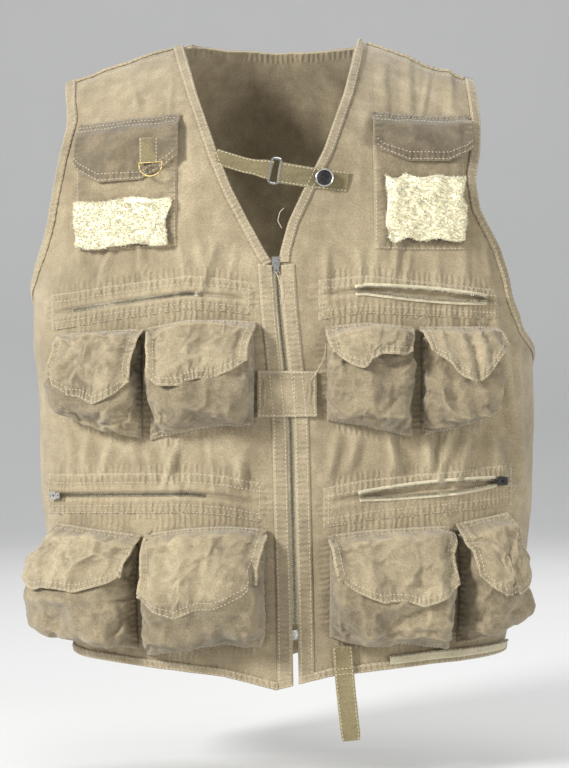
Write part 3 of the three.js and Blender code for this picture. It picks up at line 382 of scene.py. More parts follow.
# Standing folds of the fronts, within a span of x and of z in metres; height in millimetres
foldBands = (
    {"xs": (-0.19, -0.03), "zs": (-0.196, -0.246), "count": 9, "height": 2.6},
    {"xs": (0.04, 0.2), "zs": (-0.2, -0.244), "count": 8, "height": 2.4},
    {"xs": (-0.2, -0.02), "zs": (-0.372, -0.425), "count": 10, "height": 3.0},
    {"xs": (0.05, 0.2), "zs": (-0.368, -0.418), "count": 9, "height": 3.2},
    {"xs": (-0.19, -0.09), "zs": (-0.03, -0.09), "count": 4, "height": 2.0},
    {"xs": (0.09, 0.18), "zs": (-0.02, -0.085), "count": 4, "height": 2.0},
    {"xs": (0.12, 0.23), "zs": (-0.24, -0.44), "count": 5, "height": 2.6},
)
standingFolds = []
for band in foldBands:
    for i in range(band["count"]):
        share = (i + 0.5 + randomNumbers.uniform(-0.3, 0.3)) / band["count"]
        standingFolds.append({
            "x": band["xs"][0] + (band["xs"][1] - band["xs"][0]) * share,
            "top": band["zs"][0] + randomNumbers.uniform(-0.006, 0.012),
            "foot": band["zs"][1] + randomNumbers.uniform(-0.012, 0.008),
            "wide": randomNumbers.uniform(0.0045, 0.0095),
            "height": band["height"] * mm * randomNumbers.uniform(0.9, 2.0),
            "lean": randomNumbers.uniform(-0.35, 0.35),
        })

# Folds of the back: middle and half width in metres, height in millimetres
backFolds = ((-0.1, 0.02, 2.2), (0.0, 0.03, 2.6), (0.11, 0.024, 2.4), (0.18, 0.016, 2))
reliefs = {"stretch": 0.45, "broad": 2.2, "broadSize": 0.06, "fine": 1.2, "fineSize": 0.024, "crease": 0.9,
           "creaseSize": 0.03}
def relief(face, points):
    x, z = points[..., 0], points[..., 2]
    flat = np.stack([x, np.full_like(x, 0.3 * face), z], axis=-1)
    tall = flat * np.array([1.0, 1.0, reliefs["stretch"]])
    rise = reliefs["broad"] * mm * valueNoise(tall, reliefs["broadSize"], 3)
    rise = rise + reliefs["fine"] * mm * valueNoise(tall, reliefs["fineSize"], 5)
    rise += reliefs["crease"] * mm * creases(tall, reliefs["creaseSize"], 21, 2)
    if face < 0:
        for fold in standingFolds:
            along = (fold["top"] - z) / (fold["top"] - fold["foot"])
            away = (x - fold["x"] - fold["lean"] * (z - fold["top"])) / fold["wide"]
            inside = (along > 0) & (along < 1) & (np.abs(away) < 1)
            bump = fold["height"] * np.cos(away * math.pi / 2) ** 2 * np.sin(np.clip(along, 0, 1) * math.pi)
            rise += np.where(inside, bump, 0)
    else:
        for k, (centre, wide, height) in enumerate(backFolds):
            sway = centre + 0.02 * valueNoise(flat, 0.16, 40 + k)
            rise += height * mm * np.exp(-((x - sway) / wide) ** 2) * np.clip((-z - 0.14) / 0.2, 0, 1)
    return rise


def onBody(face, turn, down, lift):
    points = bare(face, turn, down)
    out = surfaceAxes(face, turn, down)[2]
    return points + out * (np.asarray(lift) + relief(face, points))[..., None]


def moved(face, turn, down, dx, dz):
    across, along, _ = surfaceAxes(face, turn, down)
    turn = np.clip(turn + dx / np.linalg.norm(across, axis=-1), -math.pi / 2, math.pi / 2)
    return turn, np.maximum(0, down + dz / np.linalg.norm(along, axis=-1))


# Meshes of cloth
def lengths(points, axis):
    steps = np.linalg.norm(np.diff(points, axis=axis), axis=-1)
    start = np.zeros_like(np.take(steps, [0], axis=axis))
    return np.concatenate([start, np.cumsum(steps, axis=axis)], axis=axis)
def pointsAt(values, run, at):
    return np.stack([np.interp(at, run, values[:, k]) for k in range(3)], -1)


def tangentsOf(points):
    return unit(np.gradient(points, axis=0))


def select(piece):
    bpy.ops.object.select_all(action="DESELECT")
    bpy.context.view_layer.objects.active = piece
    piece.select_set(True)
def newPiece(name, vertices, faces, uvs=None, attributes=None):
    mesh = bpy.data.meshes.new(name)
    mesh.from_pydata(np.asarray(vertices).reshape(-1, 3).tolist(), [], [list(f) for f in faces])
    if uvs is not None:
        layer = mesh.uv_layers.new(name="UVMap")
        order = np.empty(len(mesh.loops), dtype=np.int32)
        mesh.loops.foreach_get("vertex_index", order)
        layer.data.foreach_set("uv", np.asarray(uvs, float).reshape(-1, 2)[order].ravel())
    for key, values in (attributes or {}).items():
        attribute = mesh.attributes.new(key, "FLOAT", "POINT")
        attribute.data.foreach_set("value", np.asarray(values, float).ravel())
    mesh.validate()
    mesh.update()
    piece = bpy.data.objects.new(name, mesh)
    bpy.context.scene.collection.objects.link(piece)
    for polygon in mesh.polygons:
        polygon.use_smooth = True
    return piece


def gridFaces(rows, columns):
    faces = []
    for i in range(rows - 1):
        for j in range(columns - 1):
            corner = i * columns + j
            faces.append((corner, corner + 1, corner + columns + 1, corner + columns))
    return faces


def clothSheet(name, points, outwards, attributes=None):
    rows, columns = points.shape[:2]
    faces = gridFaces(rows, columns)
    middleRow, middleColumn = rows // 2, columns // 2
    across = points[middleRow, min(middleColumn + 1, columns - 1)] - points[middleRow, middleColumn]
    down = points[min(middleRow + 1, rows - 1), middleColumn] - points[middleRow, middleColumn]
    if np.dot(np.cross(across, down), outwards[middleRow, middleColumn]) < 0:
        faces = [f[::-1] for f in faces]
    uvs = np.stack([lengths(points, 1), lengths(points, 0)], axis=-1)
    return newPiece(name, points, faces, uvs, attributes)


def applyModifier(piece, kind, **settings):
    select(piece)
    modifier = piece.modifiers.new(kind.lower(), kind)
    for key, value in settings.items():
        setattr(modifier, key, value)
    bpy.ops.object.modifier_apply(modifier=modifier.name)
    piece.select_set(False)


def thicken(piece, thickness, offset=-1.0):
    applyModifier(piece, "SOLIDIFY", thickness=thickness, offset=offset, use_even_offset=False, use_rim=True)


def finishPiece(piece, material, node):
    piece.data.materials.clear()
    piece.data.materials.append(material)
    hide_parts(node)
    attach(piece, "vest")


# Materials
def twillMaterial(name, light, mid, dark, crumple=0.5, ribs=1.0):
    material, tree, shader = newMaterial(name)
    coordinates = addNode(tree, "ShaderNodeTexCoord")
    place, weaveUv = coordinates.outputs["Object"], coordinates.outputs["UV"]
    broad = noiseOf(tree, place, 17.0, 4.0, 0.62)
    patchy = noiseOf(tree, place, 70.0, 5.0, 0.7)
    slub = noiseOf(tree, weaveUv, 620.0, 4.0, 0.7)
    fade = noiseOf(tree, place, 7.0, 2.0)
    ramp = addNode(tree, "ShaderNodeValToRGB")
    ramp.color_ramp.elements[0].position = 0.3
    ramp.color_ramp.elements[0].color = dark
    ramp.color_ramp.elements[1].position = 0.68
    ramp.color_ramp.elements[1].color = light
    middle = ramp.color_ramp.elements.new(0.5)
    middle.color = mid
    broadHalf = addMath(tree, "MULTIPLY", broad.outputs[0], 0.5)
    blendShare = addMath(tree, "MULTIPLY_ADD", patchy.outputs[0], 0.5, broadHalf)
    tree.links.new(blendShare, ramp.inputs[0])
    worn = addNode(tree, "ShaderNodeMapRange", {1: 0.5, 2: 0.6, 3: 0.0, 4: 0.7})
    tree.links.new(addNode(tree, "ShaderNodeNewGeometry").outputs["Pointiness"], worn.inputs[0])
    paler = tuple(min(1, c * 1.22) for c in light[:3]) + (1,)
    color = mixColors(tree, worn.outputs[0], ramp.outputs[0], paler)
    speck = mapRange(tree, slub.outputs[0], 0.3, 0.7, 0.62, 1.36)
    color = mixColors(tree, 0.85, color, speck.outputs[0], "MULTIPLY")
    broadShade = mapRange(tree, fade.outputs[0], 0.35, 0.65, 0.86, 1.1)
    color = mixColors(tree, 0.9, color, broadShade.outputs[0], "MULTIPLY")
    # the two thread directions of the twill
    weave = addNode(tree, "ShaderNodeTexWave", {"Vector": weaveUv, "Scale": 420.0, "Distortion": 0.6,
                                                "Detail": 1.0},
                    wave_type="BANDS", bands_direction="DIAGONAL")
    color = mixColors(tree, addMath(tree, "MULTIPLY", weave.outputs[1], 0.22), color, dark)
    # painted shade: the cloth's hollows, where pointiness is low, are darkened towards half the dark tone
    paintedCreaseShade = addNode(tree, "ShaderNodeMapRange", {1: 0.49, 2: 0.4, 3: 0.0, 4: 0.8})
    tree.links.new(addNode(tree, "ShaderNodeNewGeometry").outputs["Pointiness"], paintedCreaseShade.inputs[0])
    creaseShadeColor = tuple(c * 0.5 for c in dark[:3]) + (1,)
    color = mixColors(tree, paintedCreaseShade.outputs[0], color, creaseShadeColor)
    tree.links.new(color, shader.inputs["Base Color"])
    # ribs that the two rows of stitches pull into the seams
    distance = addNode(tree, "ShaderNodeAttribute", attribute_name="seamDistance").outputs["Fac"]
    along = addNode(tree, "ShaderNodeAttribute", attribute_name="seamAlong").outputs["Fac"]
    wander = noiseOf(tree, place, 90.0, 1.0)
    steady = addMath(tree, "MULTIPLY", along, 2 * math.pi / (5.2 * mm))
    phase = addMath(tree, "MULTIPLY_ADD", wander.outputs[0], 5.0, steady)
    wave = addMath(tree, "SINE", phase)
    near = mapRange(tree, distance, 0.5 * mm, 2.2 * mm, 0.0, 1.0, interpolation_type="SMOOTHSTEP")
    far = mapRange(tree, distance, 7.5 * mm, 12 * mm, 1.0, 0.0, interpolation_type="SMOOTHSTEP")
    rib = addMath(tree, "MULTIPLY", wave, addMath(tree, "MULTIPLY", near.outputs[0], far.outputs[0]))
    wrinkle = addNode(tree, "ShaderNodeTexNoise", {"Vector": place, "Scale": 62.0, "Detail": 4.0,
                                                   "Roughness": 0.55},
                      noise_type="RIDGED_MULTIFRACTAL")
    height = addMath(tree, "MULTIPLY", wrinkle.outputs[0], 0.9 * mm * crumple)
    height = addMath(tree, "ADD", height, addMath(tree, "MULTIPLY", rib, 0.42 * mm * ribs))
    height = addMath(tree, "ADD", height, addMath(tree, "MULTIPLY", patchy.outputs[0], 1.3 * mm * crumple))
    height = addMath(tree, "ADD", height, addMath(tree, "MULTIPLY", weave.outputs[1], 0.09 * mm))
    height = addMath(tree, "ADD", height, addMath(tree, "MULTIPLY", slub.outputs[0], 0.22 * mm))
    bump = addNode(tree, "ShaderNodeBump", {"Height": height, "Strength": 1.0, "Distance": 1.0})
    tree.links.new(bump.outputs[0], shader.inputs["Normal"])
    rough = mapRange(tree, patchy.outputs[0], 0.3, 0.7, 0.82, 0.96)
    tree.links.new(rough.outputs[0], shader.inputs["Roughness"])
    shader.inputs["Sheen Weight"].default_value = 0.25
    shader.inputs["Sheen Roughness"].default_value = 0.6
    shader.inputs["Specular IOR Level"].default_value = 0.25
    return material


def threadMaterial(name, color, darker):
    material, tree, shader = newMaterial(name)
    place = addNode(tree, "ShaderNodeTexCoord").outputs["Object"]
    tone = noiseOf(tree, place, 260.0, 3.0)
    tree.links.new(mixColors(tree, tone.outputs[0], darker, color), shader.inputs["Base Color"])
    bump = addNode(tree, "ShaderNodeBump", {"Height": tone.outputs[0], "Strength": 0.5, "Distance": 0.0003})
    tree.links.new(bump.outputs[0], shader.inputs["Normal"])
    shader.inputs["Roughness"].default_value = 0.75
    shader.inputs["Sheen Weight"].default_value = 0.3
    return material


def metalMaterial(name, color, darker, roughness):
    material, tree, shader = newMaterial(name)
    place = addNode(tree, "ShaderNodeTexCoord").outputs["Object"]
    tarnish = noiseOf(tree, place, 420.0, 5.0)
    share = mapRange(tree, tarnish.outputs[0], 0.42, 0.64, 0.0, 0.85)
    tree.links.new(mixColors(tree, share.outputs[0], color, darker), shader.inputs["Base Color"])
    rough = mapRange(tree, tarnish.outputs[0], 0.35, 0.7, roughness, roughness + 0.25)
    tree.links.new(rough.outputs[0], shader.inputs["Roughness"])
    marks = noiseOf(tree, place, 1600.0, 3.0)
    bump = addNode(tree, "ShaderNodeBump", {"Height": marks.outputs[0], "Strength": 0.25, "Distance": 0.0002})
    tree.links.new(bump.outputs[0], shader.inputs["Normal"])
    shader.inputs["Metallic"].default_value = 1.0
    return material


def fleeceMaterial(name, color, shadow):
    material, tree, shader = newMaterial(name)
    place = addNode(tree, "ShaderNodeTexCoord").outputs["Object"]
    curl = noiseOf(tree, place, 240.0, 6.0)
    share = mapRange(tree, curl.outputs[0], 0.3, 0.66, 0.0, 1.0)
    tree.links.new(mixColors(tree, share.outputs[0], shadow, color), shader.inputs["Base Color"])
    bump = addNode(tree, "ShaderNodeBump", {"Height": curl.outputs[0], "Strength": 0.5, "Distance": 0.0008})
    tree.links.new(bump.outputs[0], shader.inputs["Normal"])
    shader.inputs["Roughness"].default_value = 0.95
    shader.inputs["Sheen Weight"].default_value = 0.5
    return material


# Name, light, middle and dark tone, crumple and ribs of each cloth
twills = {
    "khaki": ("khakiTwill", (0.47, 0.39, 0.25), (0.34, 0.275, 0.17), (0.22, 0.17, 0.1), 0.8, 1.0),
    "brownKhaki": ("brownKhakiTwill", (0.29, 0.23, 0.14), (0.165, 0.13, 0.078), (0.09, 0.07, 0.04), 1.1, 1.0),
    "pocket": ("pocketTwill", (0.42, 0.342, 0.21), (0.26, 0.208, 0.126), (0.12, 0.094, 0.055), 1.3, 1.0),
    "flap": ("flapTwill", (0.5, 0.41, 0.26), (0.33, 0.268, 0.165), (0.18, 0.14, 0.083), 1.0, 1.0),
    "binding": ("bindingTwill", (0.47, 0.39, 0.25), (0.35, 0.285, 0.18), (0.22, 0.17, 0.1), 0.5, 0.9),
    "olive": ("oliveTwill", (0.3, 0.25, 0.13), (0.22, 0.18, 0.09), (0.13, 0.105, 0.05), 0.5, 0.5),
    "tape": ("creamTape", (0.66, 0.6, 0.43), (0.54, 0.48, 0.33), (0.36, 0.31, 0.2), 0.3, 0.4),
}
finishes = {}
for key, (name, light, mid, dark, crumple, ribs) in twills.items():
    finishes[key] = twillMaterial(name, light + (1,), mid + (1,), dark + (1,), crumple, ribs)
finishes.update({
    "thread": threadMaterial("creamThread", (0.72, 0.65, 0.48, 1), (0.5, 0.43, 0.29, 1)),
    "fleece": fleeceMaterial("creamFleece", (1.0, 0.95, 0.7, 1), (0.96, 0.88, 0.6, 1)),
    "brass": metalMaterial("dullBrass", (0.50, 0.38, 0.17, 1), (0.2, 0.15, 0.08, 1), 0.38),
    "steel": metalMaterial("nickelSteel", (0.72, 0.71, 0.68, 1), (0.3, 0.29, 0.27, 1), 0.22),
    "toothMetal": metalMaterial("zipTeeth", (0.46, 0.41, 0.3, 1), (0.18, 0.16, 0.12, 1), 0.35),
    "darkSteel": metalMaterial("blackSteel", (0.075, 0.072, 0.07, 1), (0.03, 0.03, 0.03, 1), 0.3),
})
print("materials ready")


# Body panels
def neckTurn(side, down):
    down = np.asarray(down, float)
    edge = signs[side] * body["halfChest"] * np.interp(down, *neckTables[side])
    line = body["halfChest"] * section("line", down)
    closed = turnAt(line, down) + signs[side] * frontHalf / (body["halfChest"])
    return np.where(down < neckFoot, turnAt(edge, down), closed)


def armTurn(face, side, down):
    down = np.asarray(down, float)
    share = np.interp(down, *armTables[(face, side)])
    edge = turnAt(signs[side] * share * body["halfChest"], down)
    closing = smoothStep((down - armFoot[side] + armClosing) / armClosing)
    return edge + (signs[side] * math.pi / 2 - edge) * closing


def evenTurns(face, starts, ends, downs, columns):
    fine = np.linspace(0, 1, 181)
    turns = starts[:, None] + (ends - starts)[:, None] * fine
    points = bare(face, turns, downs[:, None])
    run = lengths(points, 1)
    found = np.empty((len(downs), columns))
    for i in range(len(downs)):
        found[i] = np.interp(np.linspace(0, run[i, -1], columns), run[i], turns[i])
    return found


panels = {
    "right_front_panel": {"face": -1, "side": "right", "rows": 216, "columns": 92},
    "left_front_panel": {"face": -1, "side": "left", "rows": 216, "columns": 92},
    "back_panel": {"face": 1, "side": "", "rows": 168, "columns": 112},
}


def seamPoints(face, side):
    lines = []
    downs = np.linspace(0, 1, 200)
    if face < 0:
        for column in (neckTurn(side, downs), armTurn(-1, side, downs)):
            lines.append(bare(-1, column, downs))
        for key, row in list(zipPanels.items()) + list(pockets.items()):
            if not key.startswith(side):
                continue
            at = patch(side, row)
            u = np.linspace(0, 1, 50)
            lines.append(bare(-1, *at(u, 0 * u)))
            lines.append(bare(-1, *at(u, 0 * u + 1)))
            lines.append(bare(-1, *at(0 * u, u)))
            lines.append(bare(-1, *at(0 * u + 1, u)))
        x = signs[side] * np.linspace(0.02, 0.235, 80)
        lines.append(bare(-1, turnAt(x, 1.0), 1.0 + 0 * x))
        lines.append(bare(-1, turnAt(x, 0.0), 0 * x))
    else:
        for side in ("right", "left"):
            lines.append(bare(1, armTurn(1, side, downs), downs))
        turns = np.linspace(-math.pi / 2, math.pi / 2, 160)
        lines.append(bare(1, turns, 1.0 + 0 * turns))
        turns = np.linspace(-0.98, 0.93, 120)
        lines.append(bare(1, turns, 0 * turns))
    return lines


sheetSizes = {}


def seamFields(points, lines):
    # how far each point is from the nearest seam that runs across, and from the nearest that runs down
    found = []
    for level in (True, False):
        near = []
        for line in lines:
            step = np.abs(np.gradient(line, axis=0))
            chosen = (np.maximum(step[:, 0], step[:, 1]) > step[:, 2]) == level
            near.extend(line[chosen])
        tree = KDTree(len(near))
        for i, point in enumerate(near):
            tree.insert(Vector(point), i)
        tree.balance()
        away = [tree.find(Vector(point))[2] for point in points.reshape(-1, 3)]
        found.append(np.array(away).reshape(points.shape[:-1]))
    return found


def pucker(points, acrossAway, downAway, height=0.7, pitch=11, reach=11):
    wander = 2.6 * valueNoise(points, 0.018, 61)
    strength = (0.6 + 0.4 * valueNoise(points, 0.03, 62)) * height * mm
    rate = 2 * math.pi / (pitch * mm)
    first = np.exp(-(acrossAway / (reach * mm)) ** 2) * np.sin(points[..., 0] * rate + wander)
    second = np.exp(-(downAway / (reach * mm)) ** 2) * np.sin(points[..., 2] * rate + wander)
    return strength * (first + second) * 0.8


def seamMarks(points, acrossAway, downAway):
    # the ribs fade where two seams meet
    along = np.where(acrossAway < downAway, points[..., 0], points[..., 2])
    meeting = np.exp(-((acrossAway - downAway) / (4 * mm)) ** 2)
    return {"seamDistance": np.minimum(acrossAway, downAway) + 14 * mm * meeting, "seamAlong": along}


def declareSheet(piece, points):
    # flat size as cut: the mean run of the cloth across and down
    width, length = float(lengths(points, 1)[:, -1].mean()), float(lengths(points, 0)[-1].mean())
    sheetSizes[piece.name] = (round(width, 3), round(length, 3))


def buildPanel(name):
    plan = panels[name]
    face = plan["face"]
    downs = np.linspace(0, 1, plan["rows"]) ** 1.25
    if face < 0:
        starts, ends = neckTurn(plan["side"], downs), armTurn(-1, plan["side"], downs)
    else:
        starts, ends = armTurn(1, "right", downs), armTurn(1, "left", downs)
    turns = evenTurns(face, starts, ends, downs, plan["columns"])
    grid = np.broadcast_to(downs[:, None], turns.shape)
    flat = bare(face, turns, grid)
    acrossAway, downAway = seamFields(flat, seamPoints(face, plan["side"]))
    wave = pucker(flat, acrossAway, downAway)
    points = onBody(face, turns, grid, body["cloth"] + wave)
    out = surfaceAxes(face, turns, grid)[2]
    piece = clothSheet(name + "_cloth", points, out, seamMarks(flat, acrossAway, downAway))
    thicken(piece, body["cloth"])
    finishPiece(piece, finishes["khaki"], name)
    return piece


for name in panels:
    buildPanel(name)
print("panels sewn")


# Strips: bindings, seams and the hem
def loftPiece(name, rings, closed=False, attributes=None):
    count, size = rings.shape[:2]
    wrapped = np.concatenate([rings, rings[:, :1]], axis=1)
    faces = []
    for i in range(count if closed else count - 1):
        below = (i + 1) % count
        for j in range(size):
            k = (j + 1) % size
            faces.append((i * size + j, i * size + k, below * size + k, below * size + j))
    if not closed:
        faces.append(tuple(range(size))[::-1])
        faces.append(tuple(range((count - 1) * size, count * size)))
    around = lengths(wrapped, 1)[:, :-1]
    run = np.broadcast_to(lengths(rings, 0)[:, :1], around.shape)
    piece = newPiece(name, rings, faces, np.stack([around, run], axis=-1), attributes)
    select(piece)
    bpy.ops.object.mode_set(mode="EDIT")
    bpy.ops.mesh.select_all(action="SELECT")
    bpy.ops.mesh.normals_make_consistent(inside=False)
    bpy.ops.object.mode_set(mode="OBJECT")
    piece.select_set(False)
    return piece


def stripSection(width, thick, columns=9):
    # a folded strip: flat, with round edges
    inwards = np.linspace(0, 1, columns)
    swell = 1 - 0.55 * np.abs(2 * inwards - 1) ** 6
    top = [(a * width, thick * s) for a, s in zip(inwards, swell)]
    return np.array(top + [(width, 0.0), (0.5 * width, -0.0001), (0.0, 0.0)])


def resample(stations, step):
    points = np.array([bare(s[0], s[1], s[2]) for s in stations])
    run = lengths(points[None], 1)[0]
    count = max(8, int(run[-1] / step))
    at = np.linspace(0, run[-1], count)
    turns = np.interp(at, run, [s[1] for s in stations])
    downs = np.interp(at, run, [s[2] for s in stations])
    return turns, downs, at


def edgeRings(stations, width, thick, inwards, lift, step, puckers=0.22):
    # stations: runs of (face, turn, down) that stay on one face each
    rings, alongs = [], []
    runStart = 0.0
    for run in stations:
        turns, downs, at = resample(run, step)
        face = run[0][0]
        middle = bare(face, turns, downs)
        across, along, out = surfaceAxes(face, turns, downs)
        aside = unit(np.cross(tangentsOf(middle), out)) * inwards
        dx, dz = (aside * unit(across)).sum(-1), (aside * unit(along)).sum(-1)
        profile = stripSection(width, thick)
        phase = (runStart + at) * 2 * math.pi / (5.6 * mm) + 3 * valueNoise(middle, 0.02, 8)
        wobble = 1 + puckers * np.sin(phase)
        ring = np.empty((len(turns), len(profile), 3))
        for k, (inside, height) in enumerate(profile):
            newTurn, newDown = moved(face, turns, downs, dx * inside, dz * inside)
            base = onBody(face, newTurn, newDown, lift)
            normal = surfaceAxes(face, newTurn, newDown)[2]
            bulge = math.sin(math.pi * min(1, max(0, inside / width)))
            ring[:, k] = base + normal * (height * (1 + (wobble - 1) * bulge))[:, None]
        rings.append(ring)
        alongs.append(runStart + at)
        runStart += at[-1]
    return np.concatenate(rings), np.concatenate(alongs)


def stripAttributes(rings, alongs, width, columns=9):
    inwards = np.concatenate([np.linspace(0, 1, columns), [1.0, 0.5, 0.0]]) * width
    edge = np.minimum(inwards, width - inwards)
    distance = np.broadcast_to(edge, rings.shape[:2])
    along = np.broadcast_to(alongs[:, None], rings.shape[:2])
    return {"seamDistance": distance + 1.2 * mm, "seamAlong": along}


strips = {"binding": 9.5, "hem": 8.0, "seam": 9.0, "thick": 1.9, "lift": 2.0, "step": 2.0, "hemGap": 0.0159,
          "seamStart": 0.0098, "seamEnd": 0.0101}


def frontEdge(side, count=160):
    downs = np.linspace(0, neckFoot - 0.001, count)
    return [(-1, float(neckTurn(side, d)), float(d)) for d in downs]


def buildStrips():
    thick, lift, step = strips["thick"] * mm, strips["lift"] * mm, strips["step"] * mm
    made = {}
    corners = [float(neckTurn(side, 0.0)) for side in ("right", "left")]
    behind = [(1, t, 0.0) for t in np.linspace(corners[0], corners[1], 120)]
    runs = [frontEdge("right")[::-1], behind, frontEdge("left")]
    width = strips["binding"] * mm
    made["neck_binding"] = (edgeRings(runs, width, thick, -1, lift, step), width, False)
    for side, inwards in (("right", -1), ("left", 1)):
        downs = np.linspace(0, armFoot[side], 150)
        front = [(-1, float(armTurn(-1, side, d)), float(d)) for d in downs]
        back = [(1, float(armTurn(1, side, d)), float(d)) for d in downs][::-1]
        rings = edgeRings([front, back], width, thick, inwards, lift, step)
        made[side + "_armhole_binding"] = (rings, width, True)
        sign = signs[side]
        column = 1 if side == "right" else 2
        low = neckRows[0][column] * body["halfChest"] + strips["seamStart"]
        high = armRows[0][column] * body["halfChest"] - strips["seamEnd"]
        top = [(-1, float(turnAt(sign * x, 0.0)), 0.0) for x in np.linspace(low, high, 60)]
        rings = edgeRings([top], strips["seam"] * mm, thick, sign, lift, step)
        made[side + "_shoulder_seam"] = (rings, strips["seam"] * mm, False)
    line = float(body["halfChest"] * section("line", 1.0))
    start = float(turnAt(line - strips["hemGap"], 1.0))
    end = float(turnAt(line + strips["hemGap"], 1.0))
    quarter = math.pi / 2
    hem = [
        [(-1, t, 1.0) for t in np.linspace(start, -quarter, 140)],
        [(1, t, 1.0) for t in np.linspace(-quarter, quarter, 260)],
        [(-1, t, 1.0) for t in np.linspace(quarter, end, 140)],
    ]
    made["hem_band"] = (edgeRings(hem, strips["hem"] * mm, thick, 1, lift, step), strips["hem"] * mm, False)
    for name, ((rings, alongs), width, closed) in made.items():
        piece = loftPiece(name + "_cloth", rings, closed, stripAttributes(rings, alongs, width))
        finishPiece(piece, finishes["binding"], name)


buildStrips()
print("bindings and hem sewn")


# Pouches, flaps and the zipped panels above them
bag = {
    "mouth": 17, "belly": 34, "bellyAt": 0.6, "sag": 7, "lower": 1.0, "middle": 0.86, "flapRoom": 4.2,
    "mouthDrop": 10, "columns": 46, "rows": 41, "crumple": 5.2, "growth": -0.16, "pressure": 3.0,
    "cap": 0.009,
    "thick": 1.3, "frames": 20,
}
flapGrid = {"columns": 36, "rows": 26}
flapRows = ((0, 0.68), (0.08, 0.8), (0.3, 0.99), (0.7, 1), (0.92, 0.82), (1, 0.7))


def flapOutline(at):
    return np.interp(at, *zip(*flapRows))


def bagDepth(share, u, w):
    rise = bag["mouth"] + (bag["belly"] - bag["mouth"]) * smoothStep(w / bag["bellyAt"])
    foot = np.sqrt(np.maximum(0, 1 - np.clip((w - 0.72) / 0.28, 0, 1) ** 2.4))
    return share * mm * rise * foot * np.maximum(0, 1 - np.abs(2 * np.clip(u, 0, 1) - 1) ** 7) ** 0.6


def edgeDistance(points):
    # how far each point of a grid is from its upper and lower edges, and from its side edges
    across, down = lengths(points, 1), lengths(points, 0)
    return np.minimum(down, down[-1:] - down), np.minimum(across, across[:, -1:] - across)


softPieces = {}


def sewnPatch(name, face, turns, downs, lift, material, outMore=None, crumple=0.0, seed=0):
    points = onBody(face, turns, downs, lift)
    out = surfaceAxes(face, turns, downs)[2]
    if outMore is not None:
        points = points + outMore
    acrossAway, downAway = edgeDistance(points)
    if crumple:
        loose = smoothStep(np.minimum(acrossAway, downAway) / 0.014)
        noise = creases(points, 0.034, seed, 4) + 0.5 * valueNoise(points, 0.045, seed + 9)
        points = points + out * (crumple * mm * noise * loose)[..., None]
        aside = np.stack([valueNoise(points, 0.028, seed + k) for k in (31, 47)], axis=-1)
        aside = aside * (loose * crumple * 0.6 * mm)[..., None]
        points[..., 0] += aside[..., 0]
        points[..., 2] += aside[..., 1]
    wave = pucker(points, acrossAway, downAway, 0.6, 7, 7)
    points = points + out * wave[..., None]
    piece = clothSheet(name + "_cloth", points, out, seamMarks(points, acrossAway, downAway))
    piece.data.materials.append(material)
    return piece


def bagPiece(name, row, share, seed):
    side = sideOf(name)
    at = patch(side, row, -bag["mouthDrop"] * mm)
    u, w = np.meshgrid(np.linspace(0, 1, bag["columns"]), np.linspace(0, 1, bag["rows"]))
    u = 0.5 - 0.5 * np.cos(u * math.pi) * (1 - 0.25 * np.sin(u * math.pi))
    depth = bagDepth(share, u, w)
    drop = bag["sag"] * mm * share * np.sin(math.pi * w) * np.sin(math.pi * u) ** 0.5 * w
    turns, downs = at(u, w)
    fall = np.zeros(u.shape + (3,))
    fall[..., 2] = -drop
    lift = 2 * body["cloth"] + depth
    return sewnPatch(name, -1, turns, downs, lift, finishes["pocket"], fall, bag["crumple"], seed)


def flapPiece(name, row, share, seed, shape):
    side = sideOf(name)
    at = patch(side, row)
    u, w = np.meshgrid(np.linspace(-0.02, 1.02, flapGrid["columns"]), np.linspace(0, 1, flapGrid["rows"]))
    length = row["flap"] * flapOutline(np.clip(u, 0, 1))
    if "shorten" in shape:
        length = length * (1 - shape["shorten"] * smoothStep(np.abs(u - shape["at"]) / 0.5))
    height = w * length
    tall = (row["feet"][0] - row["tops"][0]) * body["length"]
    drop = bag["mouthDrop"] * mm / tall
    rise = smoothStep(height / drop)
    below = np.clip((height - drop) / (1 - drop), 0, 1)
    lift = 3 * body["cloth"] + rise * (bagDepth(share, np.clip(u, 0.06, 0.94), below) + bag["flapRoom"] * mm)
    lift = lift + shape.get("puff", 2.5) * mm * np.sin(math.pi * np.clip(u, 0, 1)) * np.sin(math.pi * w * 0.8)
    for end, key in ((0, "curlInner"), (1, "curlOuter")):
        curl = shape.get(key, 0) * mm * smoothStep((w - 0.35) / 0.65) * smoothStep(1 - np.abs(u - end) / 0.45)
        lift = lift + curl
    turns, downs = at(u, height)
    outMore = np.zeros(u.shape + (3,))
    outMore[..., 2] = shape.get("raise", 0) * mm * smoothStep((w - 0.3) / 0.7)
    return sewnPatch(name, -1, turns, downs, lift, finishes["flap"], outMore, shape.get("crumple", 2.0), seed)


flapShapes = {
    "right_middle_inner": {"curlInner": 3, "curlOuter": 5},
    "right_middle_outer": {"curlInner": 5, "curlOuter": 3, "puff": 4},
    "left_middle_inner": {"curlOuter": 9, "shorten": 0.35, "at": 0.2},
    "left_middle_outer": {"curlInner": 9, "curlOuter": 6, "puff": 4, "shorten": 0.3, "at": 0.5},
    "right_lower_inner": {"curlOuter": 4, "puff": 4},
    "right_lower_outer": {"curlInner": 3, "puff": 7, "raise": 4, "crumple": 3.0},
    "left_lower_inner": {"curlOuter": 8, "puff": 3},
    "left_lower_outer": {"curlInner": 4, "puff": 3},
}


clothSettings = {
    "quality": 5, "mass": 0.25, "tension_stiffness": 18, "compression_stiffness": 18, "shear_stiffness": 6,
    "bending_stiffness": 0.06, "air_damping": 4, "vertex_group_mass": "sewn", "shrink_min": bag["growth"],
    "shrink_max": bag["growth"], "use_pressure": True, "uniform_pressure_force": bag["pressure"],
}


